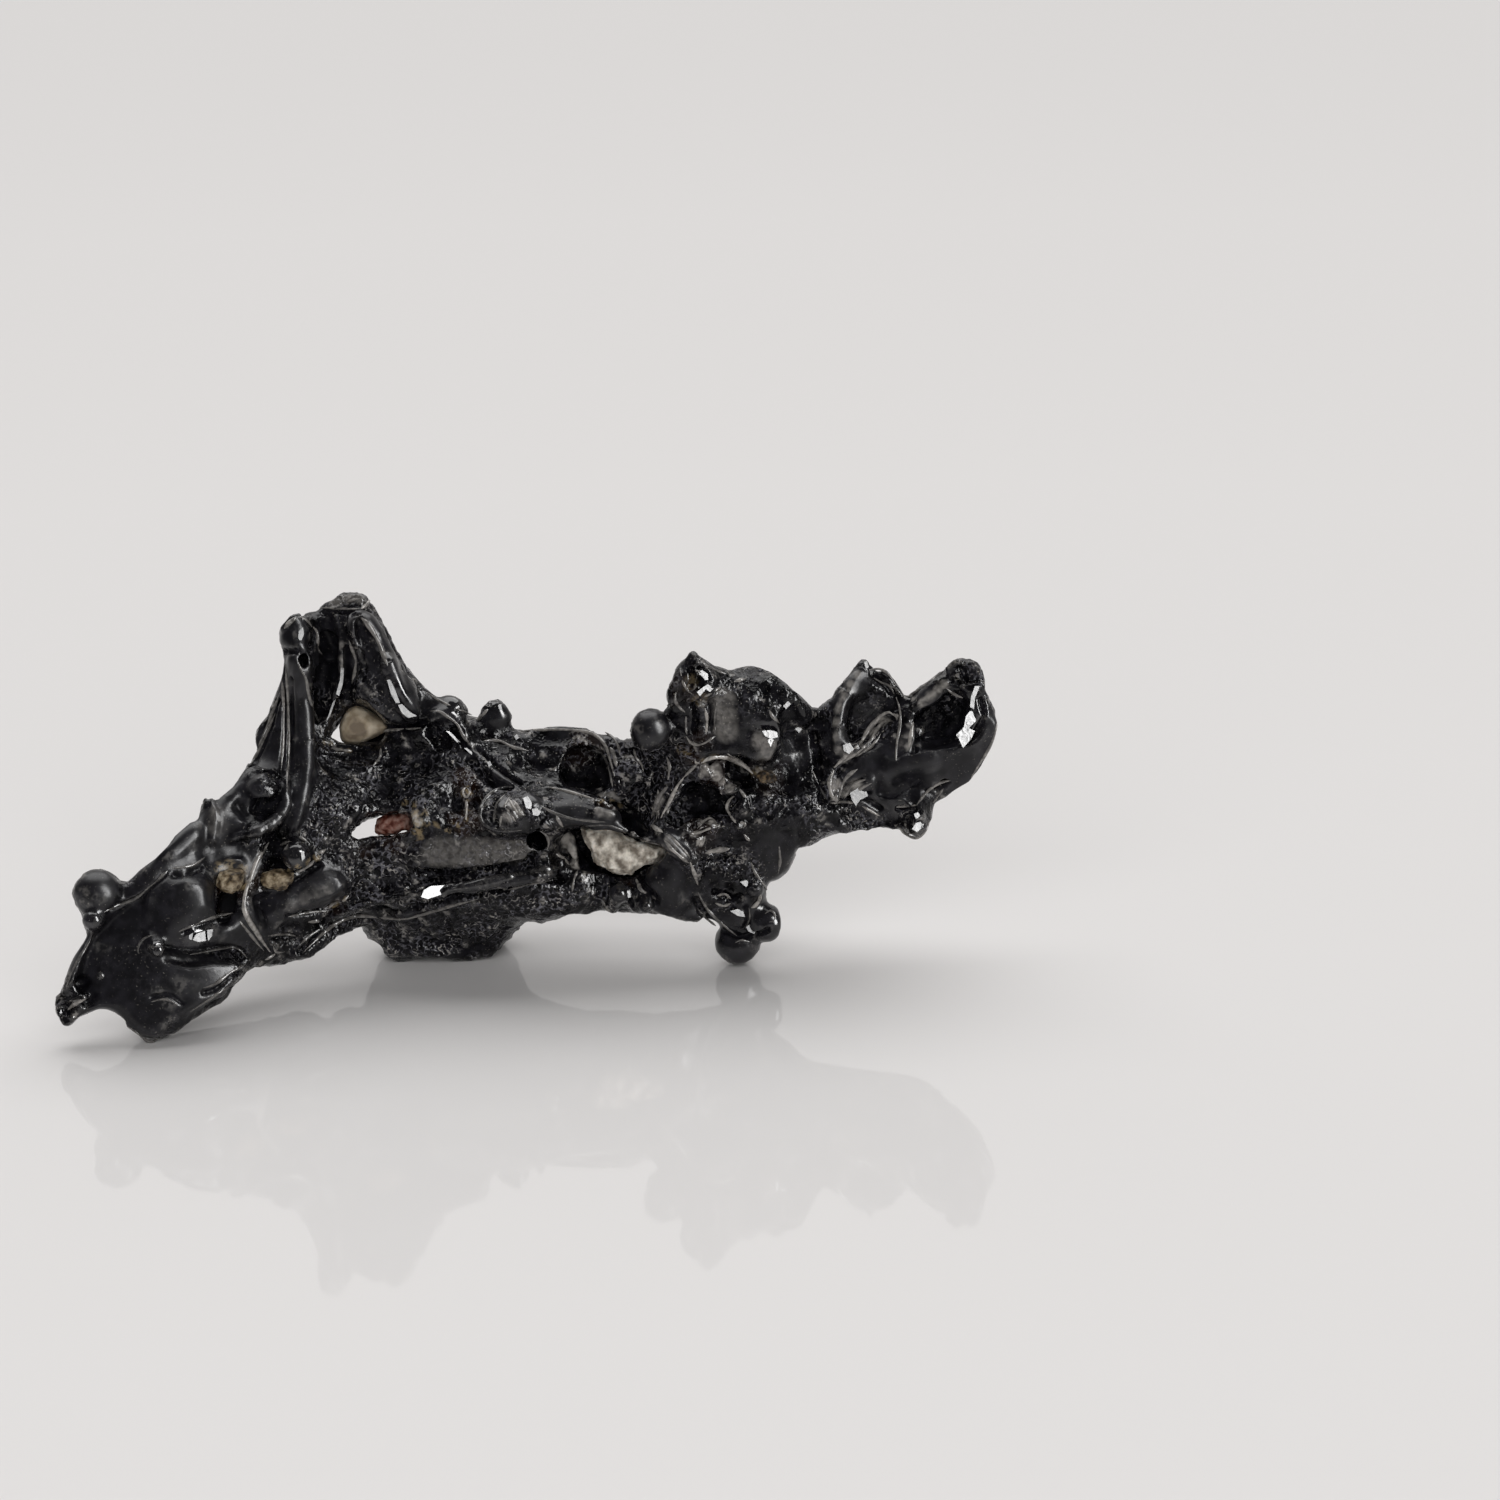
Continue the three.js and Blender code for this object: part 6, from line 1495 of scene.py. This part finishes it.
# half-melted grains of country rock: dull to waxy, mottled, and a little light goes into them
def mineral(name):
    settings = minerals[name]
    material, tree, shader = newMaterial(name)
    where = addNode(tree, "TexCoord", {}, "Object")
    grain = addNode(tree, "TexNoise", {"Scale": perMm(settings["grain"]), "Detail": 3, "Vector": where})
    colour = addNode(tree, "ValToRGB", {"Fac": grain})
    ramp = colour.node.color_ramp
    dark, middle, pale = (toLinear(hexColour) for hexColour in settings["colours"])
    ramp.elements[0].position, ramp.elements[0].color = 0.36, dark
    ramp.elements[1].position, ramp.elements[1].color = 0.66, pale
    ramp.elements.new(0.5).color = middle
    if name == "redBakedClay":
        start, end = paleRim["from"] * mm, paleRim["to"] * mm
        dull, cream = (toLinear(hexColour) for hexColour in paleRim["colours"])
        along = addNode(tree, "SeparateXYZ", {0: where})
        edge = addNode(tree, "Math", {"operation": "MULTIPLY_ADD", 0: grain, 1: 0.25 * mm, 2: along})
        rim = addNode(tree, "MapRange", {"Value": edge, **between(start, end)})
        rimColour = addNode(tree, "Mix", {"data_type": "RGBA", 0: grain, 6: dull, 7: cream}, 2)
        colour = addNode(tree, "Mix", {"data_type": "RGBA", 0: rim, 6: colour, 7: rimColour}, 2)
    bump = addNode(tree, "Bump", {"Distance": 0.02 * mm, "Height": grain})
    fillNode(shader, {"Base Color": colour, "Roughness": settings["roughness"], "IOR": 1.54,
                      "Subsurface Weight": 0.3, "Subsurface Radius": (1, 0.85, 0.7),
                      "Subsurface Scale": 0.12 * mm, "Normal": bump})
    return material


mineralMaterials = {name: mineral(name) for name in minerals}
for node, settings in grains.items():
    grain = grainBody(node, settings["places"], settings["deep"], settings["crumb"])
    keptInside(grain, node, 0.08)
    finished(grain, mineralMaterials[mineralOf[settings["slot"]]])
    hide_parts(node)
    grain.name = node + "Chip"
print("grains made")


def makeFloor():
    bpy.ops.mesh.primitive_circle_add(vertices=96, radius=0.6, fill_type="NGON", location=(0, 0.1, 0))
    floor = bpy.context.object
    floor.name = "floor"
    bpy.ops.object.transform_apply(location=True)
    material, tree, shader = newMaterial("paleGlossySheet")
    fillNode(shader, {"Base Color": toLinear("#e4e2e1"), "Roughness": 0.03, "IOR": 1.45})
    floor.data.materials.append(material)


def softLight(name, place, aim, size, power):
    bpy.ops.object.light_add(type="AREA", location=place)
    light = bpy.context.object
    light.name = name
    light.data.shape = "RECTANGLE"
    light.data.size, light.data.size_y = size
    light.data.energy = power
    light.visible_camera = False
    light.rotation_euler = (Vector(aim) - Vector(place)).to_track_quat("-Z", "Y").to_euler()
    return light


# a pale room behind and above, dim on the camera's side
def makeRoom():
    world = bpy.data.worlds.new("room")
    world.use_nodes = True
    tree = world.node_tree
    where = addNode(tree, "TexCoord", {}, "Generated")
    backward = addNode(tree, "SeparateXYZ", {0: where}, "Y")
    strength = addNode(tree, "MapRange", {"Value": backward, **between(0, 0.7, 0.05, 0.6)})
    fillNode(tree.nodes["Background"], {"Color": toLinear("#fffcfa"), "Strength": strength})
    bpy.context.scene.world = world


def lightTheScene():
    softLight("overheadSoftbox", (0, 0.25, 0.55), (0, 0.02, 0), (0.8, 0.5), 3.1)
    fill = softLight("frontFill", (0, -0.5, 0.3), (0, 0, 0), (0.9, 0.4), 2.2)
    fill.visible_glossy = False        # it only lifts the shadows on the sheet
    window = softLight("window", windowPlace, (0, 0, 0.01), (0.14, 0.42), 2.8)
    window.visible_diffuse = False     # it only gives the glass its highlights, and the sheet doesn't show it
    glassPieces = bpy.data.collections.new("glassPieces")
    for piece in (glassBody, glassThreads, glassGlints):
        glassPieces.objects.link(piece)
    window.light_linking.receiver_collection = glassPieces
    makeRoom()


makeFloor()
lightTheScene()
bpy.context.scene.view_settings.view_transform = "Standard"
